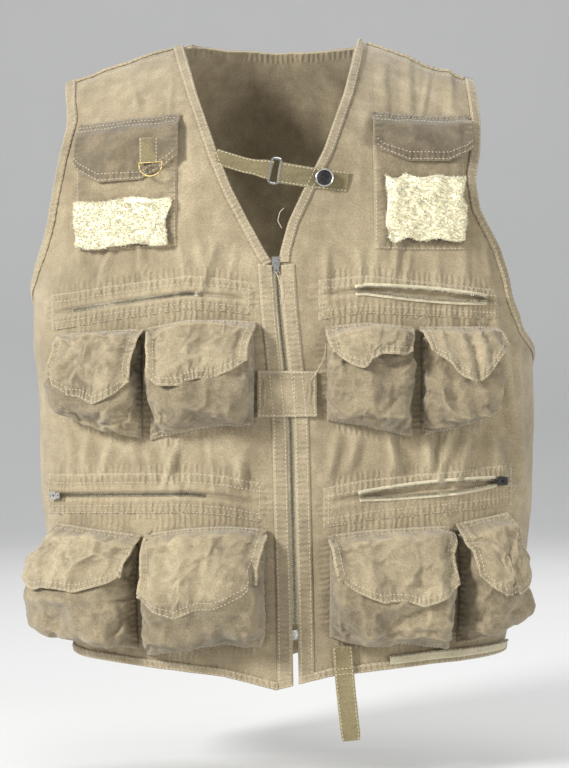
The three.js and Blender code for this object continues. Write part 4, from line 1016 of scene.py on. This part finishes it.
def simulate(soft):
    # the cloth grows a little and is blown out gently, its sewn edges held,
    # so that it buckles as worn cloth does
    starts = {}
    for piece, held in soft:
        group = piece.vertex_groups.new(name="sewn")
        group.add([int(i) for i in held], 1.0, "REPLACE")
        coordinates = np.empty(len(piece.data.vertices) * 3)
        piece.data.vertices.foreach_get("co", coordinates)
        starts[piece.name] = coordinates
        modifier = piece.modifiers.new("cloth", "CLOTH")
        for key, value in clothSettings.items():
            setattr(modifier.settings, key, value)
        modifier.settings.effector_weights.gravity = 0
        modifier.collision_settings.use_collision = False
        modifier.point_cache.frame_start = 1
        modifier.point_cache.frame_end = bag["frames"]
    for step in range(1, bag["frames"] + 1):
        bpy.context.scene.frame_set(step)
    for piece, held in soft:
        select(piece)
        bpy.ops.object.modifier_apply(modifier="cloth")
        piece.select_set(False)
        ends = np.empty(len(piece.data.vertices) * 3)
        piece.data.vertices.foreach_get("co", ends)
        start = starts[piece.name].reshape(-1, 3)
        step = np.nan_to_num(ends.reshape(-1, 3) - start)
        size = np.linalg.norm(step, axis=1, keepdims=True)
        step = step * np.tanh(size / bag["cap"]) * bag["cap"] / np.maximum(size, 1e-9)
        piece.data.vertices.foreach_set("co", (start + step).ravel())
        piece.vertex_groups.clear()
        piece.data.update()
    bpy.context.scene.frame_set(1)


def heldRows(rows, columns, sides):
    index = np.arange(rows * columns).reshape(rows, columns)
    held = set(index[0].tolist()) | set(index[1].tolist())
    if "all" in sides:
        held |= set(index[:, 0].tolist()) | set(index[:, -1].tolist()) | set(index[-1].tolist())
    return sorted(held)


def buildPockets():
    soft = []
    bagSize, flapSize = (bag["rows"], bag["columns"]), (flapGrid["rows"], flapGrid["columns"])
    for k, (name, row) in enumerate(pockets.items()):
        share = bag["lower"] if "lower" in name else bag["middle"]
        pouch = bagPiece(name + "_pocket", row, share, 100 + 7 * k)
        soft.append((pouch, heldRows(*bagSize, "all")))
        flap = flapPiece(name + "_flap", row, share, 300 + 11 * k, flapShapes[name])
        soft.append((flap, heldRows(*flapSize, "top")))
        softPieces[name + "_pocket"], softPieces[name + "_flap"] = pouch, flap
        for piece, size in ((pouch, bagSize), (flap, flapSize)):
            grid = np.array([v.co[:] for v in piece.data.vertices]).reshape(*size, 3)
            declareSheet(piece, grid)
    simulate(soft)
    for piece, _ in soft:
        applyModifier(piece, "SUBSURF", levels=1, render_levels=1)
        thicken(piece, bag["thick"] * mm)
    for name, piece in softPieces.items():
        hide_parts(name)
        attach(piece, "vest")


buildPockets()
print("pouches and flaps sewn")

zipBand = {"lower": 36, "middle": 32, "rise": 1.4, "lips": 1.3, "groove": 2.0, "rib": 0.4, "thick": 0.9}

def zipBandPiece(name, row):
    side = sideOf(name)
    at = patch(side, row)
    u, w = np.meshgrid(np.linspace(-0.01, 1.01, 120), np.linspace(-0.06, 1.06, 30))
    turns, downs = at(u, w)
    slit = row["slitAt"]
    groove = np.exp(-((w - slit) / 0.07) ** 2) * smoothStep(u / 0.1) * smoothStep((1 - u) / 0.1)
    edge = smoothStep((w + 0.06) / 0.1) * smoothStep((1.06 - w) / 0.1)
    edge = edge * smoothStep((u + 0.01) / 0.03) * smoothStep((1.01 - u) / 0.03)
    ribs = zipBand["lower"] if "lower" in name else zipBand["middle"]
    wander = valueNoise(np.stack([u * 8, w * 2, 0 * u], -1), 1.0, 77)
    rib = np.sin(u * 2 * math.pi * ribs + 2.4 * wander)
    lips = np.exp(-((np.abs(w - slit) - 0.16) / 0.12) ** 2)
    swell = zipBand["rise"] + zipBand["lips"] * lips - zipBand["groove"] * groove
    lift = body["cloth"] + mm * edge * (swell + zipBand["rib"] * rib * (1 - groove))
    points = onBody(-1, turns, downs, lift)
    out = surfaceAxes(-1, turns, downs)[2]
    piece = clothSheet(name + "_zip_panel_cloth", points, out, seamMarks(points, *edgeDistance(points)))
    thicken(piece, zipBand["thick"] * mm)
    finishPiece(piece, finishes["khaki"], name + "_zip_panel")
    declareSheet(piece, points)
tooth = {"wide": 2.3, "long": 1.15, "tall": 1.1, "pitch": 1.9, "tape": 0.5}


def toothShape():
    square = ((-1, -1), (1, -1), (1, 1), (-1, 1))
    corners = [(x, y, 0) for x, y in square] + [(0.7 * x, 0.7 * y, 1) for x, y in square]
    size = np.array([tooth["wide"] * mm / 2, tooth["long"] * mm / 2, tooth["tall"] * mm])
    vertices = np.array(corners, float) * size
    faces = [(0, 3, 2, 1), (4, 5, 6, 7), (0, 1, 5, 4), (1, 2, 6, 5), (2, 3, 7, 6), (3, 0, 4, 7)]
    return vertices, faces


def scatter(name, shape, places, firsts, seconds, outs, material, smooth=False):
    # one joined mesh of the shape set at every place, in the given axes
    vertices, faces = shape
    allVertices, allFaces = [], []
    for place, a, b, c in zip(places, firsts, seconds, outs):
        start = len(allVertices) * len(vertices)
        allVertices.append(place + vertices[:, :1] * a + vertices[:, 1:2] * b + vertices[:, 2:3] * c)
        allFaces += [tuple(start + i for i in face) for face in faces]
    piece = newPiece(name, np.concatenate(allVertices), allFaces)
    if not smooth:
        for polygon in piece.data.polygons:
            polygon.use_smooth = False
    piece.data.materials.append(material)
    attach(piece, "vest")
    return piece


def spread(points, pitch, start=0.0):
    run = lengths(points[None], 1)[0]
    at = np.arange(start, run[-1], pitch)
    return pointsAt(points, run, at), at

def zipTeeth(name, line, outs, gapHalf, replaced, tapeHalf, arch=None, tapeLift=0.0006):
    # the tape of each side and its row of teeth; arch spreads the two rows apart where the zip stands open
    count = len(line)
    tangent = tangentsOf(line)
    aside = unit(np.cross(outs, tangent))
    opening = np.zeros(count) if arch is None else arch
    for sign, half in ((-1, "a"), (1, "b")):
        inner = line + aside * (sign * (gapHalf + opening))[:, None]
        places, at = spread(inner, tooth["pitch"] * mm, 0.0 if sign > 0 else tooth["pitch"] / 2 * mm)
        run = lengths(inner[None], 1)[0]
        first, second, third = (pointsAt(values, run, at) for values in (aside, tangent, outs))
        scatter(f"{name}_teeth_{half}", toothShape(), places + third * tapeLift, first * sign, second, third,
                finishes["toothMetal"])
        steps = [(sign * r * tapeHalf, tapeLift * (1 - 0.3 * r)) for r in np.linspace(0, 1, 5)]
        grid = np.stack([inner + aside * wide + outs * high for wide, high in steps])
        tape = clothSheet(f"{name}_tape_{half}", grid, np.broadcast_to(outs, grid.shape))
        thicken(tape, tooth["tape"] * mm)
        tape.data.materials.append(finishes["tape"])
        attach(tape, "vest")
        if sign < 0:
            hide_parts(replaced)


zipRuns = {
    "right_middle": {"u": (0.2, 0.84), "open": 0.0, "lift": 0.4},
    "left_middle": {"u": (0.16, 0.9), "open": 2.8, "lift": 3.4},
    "right_lower": {"u": (0.2, 0.88), "open": 0.0, "lift": 0.6},
    "left_lower": {"u": (0.14, 0.86), "open": 3.4, "lift": 3.4},
}


def buildZipPanels():
    for name, row in zipPanels.items():
        zipBandPiece(name, row)
        run = zipRuns[name]
        u = np.linspace(*run["u"], 90)
        share = (u - u[0]) / (u[-1] - u[0])
        turns, downs = patch(sideOf(name), row)(u, 0 * u + row["slitAt"])
        outs = surfaceAxes(-1, turns, downs)[2]
        line = onBody(-1, turns, downs, body["cloth"] + run["lift"] * mm)
        arch = run["open"] * mm * np.sin(math.pi * share) ** 0.7 if run["open"] else None
        tapeHalf = 3.6 * mm if run["open"] else 2.2 * mm
        zipTeeth(name + "_zip", line, outs, 1.1 * mm, name + "_zip", tapeHalf, arch)


buildZipPanels()
print("zipped panels sewn")


# The front zip with its plackets
def frontTurn(offset, down):
    line = body["halfChest"] * section("line", down)
    return turnAt(line + offset, down)


def buildFront():
    downs = np.linspace(neckFoot + 0.012, 0.906, 260)
    turns = frontTurn(0.0, downs)
    outs = surfaceAxes(-1, turns, downs)[2]
    line = onBody(-1, turns, downs, 1.2 * mm)
    zipTeeth("front_zip", line, outs, 1.0 * mm, "front_zip", 8 * mm)
    for side, sign in signs.items():
        downs = np.linspace(neckFoot + 0.004, 0.999, 280)
        across = np.linspace(0, 1, 12)
        turns = np.stack([frontTurn(sign * (3.2 + 13.5 * a) * mm, downs) for a in across], -1)
        grid = np.broadcast_to(downs[:, None], turns.shape)
        run = np.broadcast_to(across, turns.shape)
        sway = 0.25 * mm * np.sin(grid * 210 + 4 * valueNoise(bare(-1, turns, grid), 0.03, 91))
        edge = np.sqrt(np.maximum(0, 1 - np.abs(2 * run - 1) ** 6))
        lift = body["cloth"] + mm * (0.9 + 1.0 * edge) + sway * np.sin(math.pi * run)
        points = onBody(-1, turns, grid, lift)
        out = surfaceAxes(-1, turns, grid)[2]
        piece = clothSheet(side + "_placket_cloth", points, out, seamMarks(points, *edgeDistance(points)))
        thicken(piece, 1.0 * mm)
        finishPiece(piece, finishes["binding"], side + "_placket")
        declareSheet(piece, points)


buildFront()


# Chest pockets with their fleece
def buildChest():
    for side, row in chestPockets.items():
        at = patch(side, row, 0.0)
        u, w = np.meshgrid(np.linspace(0, 1, 64), np.linspace(0.12, 1, 56))
        swell = np.maximum(0, 1 - np.abs(2 * u - 1) ** 9) ** 0.5
        swell = swell * np.maximum(0, 1 - np.abs(2 * w - 1) ** 9) ** 0.5
        bow = 3.2 * mm * np.sin(math.pi * np.clip(w, 0, 1)) ** 0.6
        lift = 1.2 * body["cloth"] + swell * (2.5 * mm + bow)
        turns, downs = at(u, w)
        seed = 500 + 31 * signs[side]
        piece = sewnPatch(side + "_chest_pocket", -1, turns, downs, lift, finishes["pocket"], None, 1.3, seed)
        thicken(piece, 1.3 * mm)
        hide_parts(side + "_chest_pocket")
        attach(piece, "vest")
        declareSheet(piece, bare(-1, turns, downs))

        u, w = np.meshgrid(np.linspace(-0.02, row["flapOut"], 52), np.linspace(-0.02, 1, 34))
        outline = flapOutline(np.clip(u / row["flapOut"], 0, 1))
        height = np.maximum(w, 0) * row["flap"] * outline + np.minimum(w, 0)
        lift = 2.8 * body["cloth"] + smoothStep(w / 0.3) * 6.6 * mm
        lift = lift + 2.5 * mm * np.sin(math.pi * np.clip(u, 0, 1)) * np.sin(math.pi * np.clip(w, 0, 1))
        turns, downs = at(u, height)
        seed = 560 + 13 * signs[side]
        flap = sewnPatch(side + "_chest_flap", -1, turns, downs, lift, finishes["brownKhaki"], None, 2.0,
                         seed)
        thicken(flap, 1.4 * mm)
        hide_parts(side + "_chest_flap")
        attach(flap, "vest")
        declareSheet(flap, bare(-1, turns, downs))
        buildFleece(side, at, row["fleece"])


tufts = {"count": 5200, "short": 0.9, "long": 2.2, "lean": 0.75, "stray": 0.6}


def buildFleece(side, at, edges):
    lowU, highU, lowW, highW = edges
    u, w = np.meshgrid(np.linspace(lowU, highU, 84), np.linspace(lowW, highW, 50))
    du, dw = (u - lowU) / (highU - lowU), (w - lowW) / (highW - lowW)
    edge = np.minimum(np.minimum(du, 1 - du) * 1.6, np.minimum(dw, 1 - dw))
    swell = np.sqrt(np.clip(edge / 0.14, 0, 1))
    turns, downs = at(u, w)
    flat = bare(-1, turns, downs)
    curl = 1.1 * valueNoise(flat, 0.006, 700) + 0.4 * valueNoise(flat, 0.0026, 701)
    curl = curl + 1.7 * valueNoise(flat, 0.017, 702)
    lift = 0.0095 + swell * (3.4 + curl) * mm
    points = onBody(-1, turns, downs, lift)
    ragged = valueNoise(flat, 0.012, 705) * 3.6 * mm
    points[..., 0] += ragged * (1 - smoothStep(edge / 0.3))
    points[..., 2] += np.roll(ragged, 3, 0) * (1 - smoothStep(edge / 0.3))
    out = surfaceAxes(-1, turns, downs)[2]
    piece = clothSheet(side + "_fleece_pile", points, out)
    thicken(piece, 1.5 * mm)
    finishPiece(piece, finishes["fleece"], side + "_fleece")
    # tufts of wool standing out of the mat
    rng = np.random.default_rng(40 + signs[side])
    count = tufts["count"]
    rows = rng.integers(0, u.shape[0], count)
    columns = rng.integers(0, u.shape[1], count)
    base = points[rows, columns] + rng.uniform(-tufts["stray"], tufts["stray"], (count, 3)) * mm
    lean = unit(out[rows, columns] + rng.normal(0, tufts["lean"], (count, 3)))
    aside = unit(np.cross(lean, rng.normal(0, 1, (count, 3))))
    third = np.cross(lean, aside)
    size = (rng.uniform(tufts["short"], tufts["long"], count) * mm)[:, None]
    corners = np.array([(-1, -0.6, 0), (1, -0.6, 0), (0, 1, 0), (0.9, 0.5, 0.6), (1.4, 0.2, 1.0)])
    shape = (corners * np.array([0.3, 0.3, 1.0]), [(0, 1, 3), (1, 2, 3), (2, 0, 3), (0, 3, 4), (1, 4, 3)])
    scatter(side + "_fleece_tufts", shape, base, aside * size, third * size, lean * size,
            finishes["fleece"], True)


buildChest()
print("chest pockets sewn")


# Straps and tabs
def ribbon(name, centre, wide, thick, widths, material, node, bulge=0.0, columns=14):
    # a flat strap along a path: wide gives the direction across it
    centre = np.asarray(centre, float)
    run = lengths(centre[None], 1)[0]
    at = np.linspace(0, run[-1], max(10, int(run[-1] / (1.6 * mm))))
    line = pointsAt(centre, run, at)
    kernel = np.ones(5) / 5
    for k in range(3):
        line[:, k] = np.convolve(np.pad(line[:, k], 2, mode="edge"), kernel, "valid")
    width = np.interp(at / run[-1], [w[0] for w in widths], [w[1] for w in widths]) * mm
    tangent = tangentsOf(line)
    wide = np.broadcast_to(np.asarray(wide, float), line.shape)
    out = unit(np.cross(wide, tangent))
    out = np.where((out[:, 1] > 0)[:, None], -out, out)
    sideways = unit(np.cross(tangent, out))
    across = np.linspace(-0.5, 0.5, columns)
    grid = np.stack([line + sideways * (width * a)[:, None] for a in across], 1)
    ripple = 0.25 * mm * np.sin(lengths(grid, 0) * 2 * math.pi / (4.4 * mm))
    wrinkle = 0.35 * mm * valueNoise(grid, 0.007, 801) + ripple * (np.abs(2 * across[None]) > 0.55)
    grid = grid + out[:, None] * (wrinkle + bulge * mm * (1 - (2 * across[None]) ** 2))[..., None]
    piece = clothSheet(name, grid, np.broadcast_to(out[:, None], grid.shape),
                       seamMarks(grid, *edgeDistance(grid)))
    thicken(piece, thick * mm)
    finishPiece(piece, material, node)
    declareSheet(piece, grid)
    return piece, grid, out


def pointOn(face, xShare, heightShare, lift):
    turn, down = spot(xShare, heightShare)
    return onBody(face, turn, down, lift * mm)


def buildStraps():
    made = {}
    ring = np.array((-0.0015, -0.1150, -0.1340))
    start = pointOn(-1, -0.243, 0.197, 4.2)
    path = [start, start * 0.5 + ring * 0.5 + (0, -0.0006, -0.0018), ring + (-0.002, 0, 0.0004)]
    made["right_neck_strap"] = ribbon("right_neck_strap_cloth", path, (0.05, 0, 1), 2.0,
                                      ((0, 14), (0.7, 14), (0.85, 17), (1, 18)), finishes["olive"],
                                      "right_neck_strap", 0.4)
    end = pointOn(-1, 0.283, 0.236, 4.2)
    path = [ring + (0.002, 0, -0.001), ring * 0.5 + end * 0.5 + (0, -0.0006, -0.0012), end]
    made["left_neck_strap"] = ribbon("left_neck_strap_cloth", path, (0.05, 0, 1), 2.0,
                                     ((0, 19.5), (0.2, 19), (1, 19)), finishes["olive"], "left_neck_strap",
                                     0.3)
    top, foot = pointOn(-1, -0.487, 0.175, 14.4), pointOn(-1, -0.487, 0.213, 15.2)
    made["ring_tab"] = ribbon("ring_tab_cloth", [top, foot], (1, 0, 0), 1.6, ((0, 17), (1, 17)),
                              finishes["olive"], "ring_tab", 0.5)
    top = pointOn(-1, 0.255, 0.93, 5.4)
    path = [top, top + (0.002, 0.001, -0.03), top + (0.005, 0.0012, -0.06), top + (0.008, 0.0, -0.088)]
    made["hanging_strap"] = ribbon("hanging_strap_cloth", path, (1, 0, 0.08), 1.8,
                                   ((0, 17.5), (0.93, 17.5), (1, 15)),
                                   finishes["olive"], "hanging_strap", -0.5)
    path = [pointOn(-1, share, 0.5535, 5.2) for share in np.linspace(-0.078, 0.16, 9)]
    made["waist_tab"] = ribbon("waist_tab_cloth", path, (0, 0, 1), 1.8, ((0, 43), (1, 41)),
                               finishes["binding"], "waist_tab", 0.4, 26)
    return made


straps = buildStraps()


hemZip = {"from": 0.44, "to": 0.9, "height": 0.0095, "lift": 4.6, "tapeHalf": 4.2, "teethAt": 3.4,
          "thick": 0.8}


def buildHemZip():
    x = np.linspace(hemZip["from"], hemZip["to"], 120) * body["halfChest"]
    down = 1 - hemZip["height"] / body["length"] + 0 * x
    turns = turnAt(x, down)
    line = onBody(-1, turns, down, hemZip["lift"] * mm)
    outs = surfaceAxes(-1, turns, down)[2]
    tangent = tangentsOf(line)
    up = unit(np.cross(tangent, outs))
    up = np.where((up[:, 2] < 0)[:, None], -up, up)
    grid = np.stack([line + up * (r * hemZip["tapeHalf"] * mm) for r in np.linspace(-1, 1, 7)])
    tape = clothSheet("hem_zip_tape", grid, np.broadcast_to(outs, grid.shape))
    thicken(tape, hemZip["thick"] * mm)
    finishPiece(tape, finishes["tape"], "hem_zip")
    places, at = spread(line + up * (hemZip["teethAt"] * mm), tooth["pitch"] * mm)
    run = lengths(line[None], 1)[0]
    ups, alongs, normals = (pointsAt(values, run, at) for values in (up, tangent, outs))
    scatter("hem_zip_teeth", toothShape(), places + normals * 0.4 * mm, ups, alongs, normals,
            finishes["toothMetal"])


buildHemZip()
print("straps and hem zip sewn")


# Thread: double rows of stitches laid on the finished cloth
def treeOf(names):
    vertices, polygons = [], []
    for name in names:
        piece = bpy.data.objects[name]
        start = len(vertices)
        vertices += [v.co.copy() for v in piece.data.vertices]
        polygons += [tuple(start + i for i in p.vertices) for p in piece.data.polygons]
    return BVHTree.FromPolygons(vertices, polygons)


stitch = {"length": 2.5, "pitch": 3.5, "radius": 0.38, "reach": 0.05}


def stitchShape():
    ring = [(0, c, s) for c, s in ((1, 0), (0, 1), (-1, 0), (0, -0.3))]
    sides = [(x, y, z) for x in (-0.55, 0.55) for _, y, z in ring]
    vertices = [(-1, 0, -0.6)] + sides + [(1, 0, -0.6)]
    faces = []
    for k in range(4):
        n = (k + 1) % 4
        faces += [(0, 1 + n, 1 + k), (1 + k, 1 + n, 5 + n, 5 + k), (9, 5 + k, 5 + n)]
    size = np.array([stitch["length"] / 2, stitch["radius"], stitch["radius"]]) * mm
    return np.array(vertices, float) * size, faces


def layStitches(name, lines, tree):
    places, firsts, seconds, thirds = [], [], [], []
    for line, outs in lines:
        run = lengths(line[None], 1)[0]
        if run[-1] < 4 * mm:
            continue
        at = np.arange(stitch["pitch"] * mm * 0.6, run[-1], stitch["pitch"] * mm)
        for point, out in zip(pointsAt(line, run, at), unit(pointsAt(outs, run, at))):
            start = Vector(point + out * stitch["reach"])
            hit, normal, _, _ = tree.ray_cast(start, Vector(-out), stitch["reach"] * 2)
            if hit is None:
                continue
            places.append(np.array(hit))
            thirds.append(np.array(normal) if np.dot(normal, out) > 0 else -np.array(normal))
        used = len(places) - len(firsts)
        tangents = pointsAt(tangentsOf(line), run, at)[:used]
        for tangent, third in zip(tangents, thirds[len(firsts):]):
            along = unit(tangent - third * np.dot(tangent, third))
            firsts.append(along)
            seconds.append(np.cross(third, along))
    if places:
        places = np.array(places) + np.array(thirds) * 0.1 * mm
        scatter(name, stitchShape(), places, firsts, seconds, thirds, finishes["thread"], True)


def lineAt(face, turns, downs):
    return bare(face, turns, downs), surfaceAxes(face, turns, downs)[2]


def atInset(points, inset, fromEnd):
    run = lengths(points[None], 1)[0]
    at = run[-1] - inset if fromEnd else inset
    return pointsAt(points, run, at)


def borderLines(piece, rows, columns, inset, edges):
    # the first vertices of a sewn patch are still its own grid
    grid = np.array([v.co[:] for v in piece.data.vertices[:rows * columns]]).reshape(rows, columns, 3)
    outs = unit(np.cross(np.gradient(grid, axis=0), np.gradient(grid, axis=1)))
    outs = np.where((outs[..., 1] > 0)[..., None], -outs, outs)
    inset = inset * mm
    lines = []
    for edge in edges:
        if edge == "sides":
            for fromEnd, column in ((False, 1), (True, -2)):
                line = np.array([atInset(grid[i], inset, fromEnd) for i in range(2, rows - 4)])
                lines.append((line, outs[2:rows - 4, column]))
        else:
            fromEnd = edge == "foot"
            line = np.array([atInset(grid[:, j], inset, fromEnd) for j in range(2, columns - 2)])
            lines.append((line, outs[-3 if fromEnd else 2, 2:columns - 2]))
    return lines


def buildStitches():
    grounds = [o.name for o in bpy.data.objects if o.type == "MESH" and o.name.endswith("_cloth")]
    tree = treeOf(grounds)
    bandLines = []
    u = np.linspace(0.01, 0.99, 80)
    for name, row in zipPanels.items():
        at = patch(sideOf(name), row)
        for w in (-0.02, 0.2, 0.82, 1.02):
            bandLines.append(lineAt(-1, *at(u, 0 * u + w)))
        for end in (0.012, 0.988):
            bandLines.append(lineAt(-1, *at(0 * u + end, u)))
    layStitches("zip_panel_stitches", bandLines, tree)
    flapLines, pouchLines = [], []
    for name in pockets:
        flap, pouch = softPieces[name + "_flap"], softPieces[name + "_pocket"]
        for inset in (1.8, 7.2):
            flapLines += borderLines(flap, flapGrid["rows"], flapGrid["columns"], inset,
                                     ("top", "sides", "foot"))
        for inset in (2.0, 7.5):
            pouchLines += borderLines(pouch, bag["rows"], bag["columns"], inset, ("foot",))
    layStitches("flap_stitches", flapLines, tree)
    layStitches("pouch_stitches", pouchLines, tree)
    chestLines = []
    for side, row in chestPockets.items():
        at = patch(side, row)
        height = (row["feet"][0] - row["tops"][0]) * body["length"]
        for down in (1.2, 6.8):
            chestLines.append(lineAt(-1, *at(u * row["flapOut"], 0 * u + down * mm / height)))
        outline = row["flap"] * flapOutline(u)
        for inset in (1.8, 7.0):
            chestLines.append(lineAt(-1, *at(u * row["flapOut"], outline - inset * mm / height)))
        chestLines.append(lineAt(-1, *at(u, 0 * u + 0.985)))
        for end in (0.02, 0.98):
            chestLines.append(lineAt(-1, *at(0 * u + end, 0.35 + 0.6 * u)))
    layStitches("chest_pocket_stitches", chestLines, tree)
    edgeLines = []
    for side, sign in signs.items():
        downs = np.linspace(0.002, neckFoot - 0.004, 160)
        for inset in (1.6, 8.0):
            turn = neckTurn(side, downs)
            across = np.linalg.norm(surfaceAxes(-1, turn, downs)[0], axis=-1)
            edgeLines.append(lineAt(-1, turn + sign * inset * mm / across, downs))
        for face in (-1, 1):
            downs = np.linspace(0.002, armFoot[side] - 0.012, 160)
            turn = armTurn(face, side, downs)
            across = np.linalg.norm(surfaceAxes(face, turn, downs)[0], axis=-1)
            for inset in (1.6, 8.0):
                edgeLines.append(lineAt(face, turn - sign * inset * mm / np.maximum(across, 0.06), downs))
        x = sign * np.linspace(0.098, 0.185, 60)
        for face in (-1, 1):
            edgeLines.append(lineAt(face, turnAt(x, 0.012), 0.012 + 0 * x))
        downs = np.linspace(neckFoot + 0.02, 0.99, 200)
        for inset in (5.0, 14.6):
            edgeLines.append(lineAt(-1, frontTurn(sign * inset * mm, downs), downs))
    for face in (-1, 1):
        turns = np.linspace(-1.5, 1.5, 300)
        for inset in (1.5, 6.6):
            edgeLines.append(lineAt(face, turns, 1 - inset * mm / body["length"] + 0 * turns))
    layStitches("edge_stitches", edgeLines, tree)
    strapLines = []
    for name, (piece, grid, out) in straps.items():
        columns = grid.shape[1]
        for column in (1, columns - 2):
            strapLines.append((grid[:, column], out))
        if name == "waist_tab":
            for row in (2, -14, -3):
                strapLines.append((grid[row], np.broadcast_to(out[row], grid[row].shape)))
    layStitches("strap_stitches", strapLines, tree)


buildStitches()
print("stitches laid")


def looseThread(name, points, radius=0.32):
    points = np.array(points, float)
    run = lengths(points[None], 1)[0]
    at = np.linspace(0, run[-1], 60)
    line = pointsAt(points, run, at)
    kernel = np.hanning(13) / np.hanning(13).sum()
    for k in range(3):
        line[:, k] = np.convolve(np.pad(line[:, k], 6, mode="edge"), kernel, "valid")
    tangent = tangentsOf(line)
    first = unit(np.cross(tangent, (0.3, 1, 0.2)))
    second = np.cross(tangent, first)
    angles = np.arange(6) / 6 * 2 * math.pi
    across, over = (values[None, :, None] for values in (np.cos(angles), np.sin(angles)))
    rings = line[:, None] + radius * mm * (first[:, None] * across + second[:, None] * over)
    piece = loftPiece(name, rings)
    piece.data.materials.append(finishes["thread"])
    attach(piece, "vest")
def buildThreads():
    # each thread's start and the steps from it to its free end
    threads = (
        ("pull_thread", np.array((-0.0008, -0.1275, -0.226)),
         ((0.003, -0.001, -0.008), (0.006, 0.0005, -0.02), (0.0045, 0.001, -0.03))),
        ("pocket_thread", pointOn(-1, 0.19, 0.478, 5.0),
         ((-0.001, -0.004, -0.012), (-0.007, -0.003, -0.024), (-0.015, 0.0, -0.036))),
        ("neck_thread", pointOn(-1, 0.03, 0.276, 3.0),
         ((-0.004, -0.003, -0.004), (-0.006, -0.003, -0.012), (-0.002, -0.002, -0.019))),
    )
    for name, start, steps in threads:
        looseThread(name, [start] + [start + step for step in steps])


buildThreads()

# Metal
snapRim = {"radius": 7.6, "wire": 0.75, "proud": 0.9}
capLow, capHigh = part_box("neck_strap_snap")
bpy.ops.mesh.primitive_torus_add(
    location=((capLow[0] + capHigh[0]) / 2, capLow[1] + snapRim["proud"] * mm, (capLow[2] + capHigh[2]) / 2),
    rotation=(math.pi / 2, 0, 0), major_radius=snapRim["radius"] * mm, minor_radius=snapRim["wire"] * mm,
    major_segments=56, minor_segments=10)
rim = bpy.context.object
rim.name = "snap_rim"
bpy.ops.object.transform_apply(location=True, rotation=True, scale=True)
bpy.ops.object.shade_smooth()
rim.data.materials.append(finishes["steel"])
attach(rim, "vest")

metals = {
    "front_zip_slider": "steel", "front_zip_pull": "steel", "right_lower_zip_slider": "steel",
    "right_lower_zip_pull": "steel", "left_lower_zip_slider": "darkSteel", "left_lower_zip_pull": "darkSteel",
    "neck_strap_ring": "steel", "d_ring": "brass", "front_zip_box": "steel", "neck_strap_snap": "darkSteel",
}
for name, finish in metals.items():
    node = bpy.data.objects[name]
    for part in [node, *node.children_recursive]:
        if part.type == "MESH":
            for materialSlot in part.material_slots:
                materialSlot.material = finishes[finish]
print("metal finished")

print("sheets, width and length as cut:", sheetSizes)
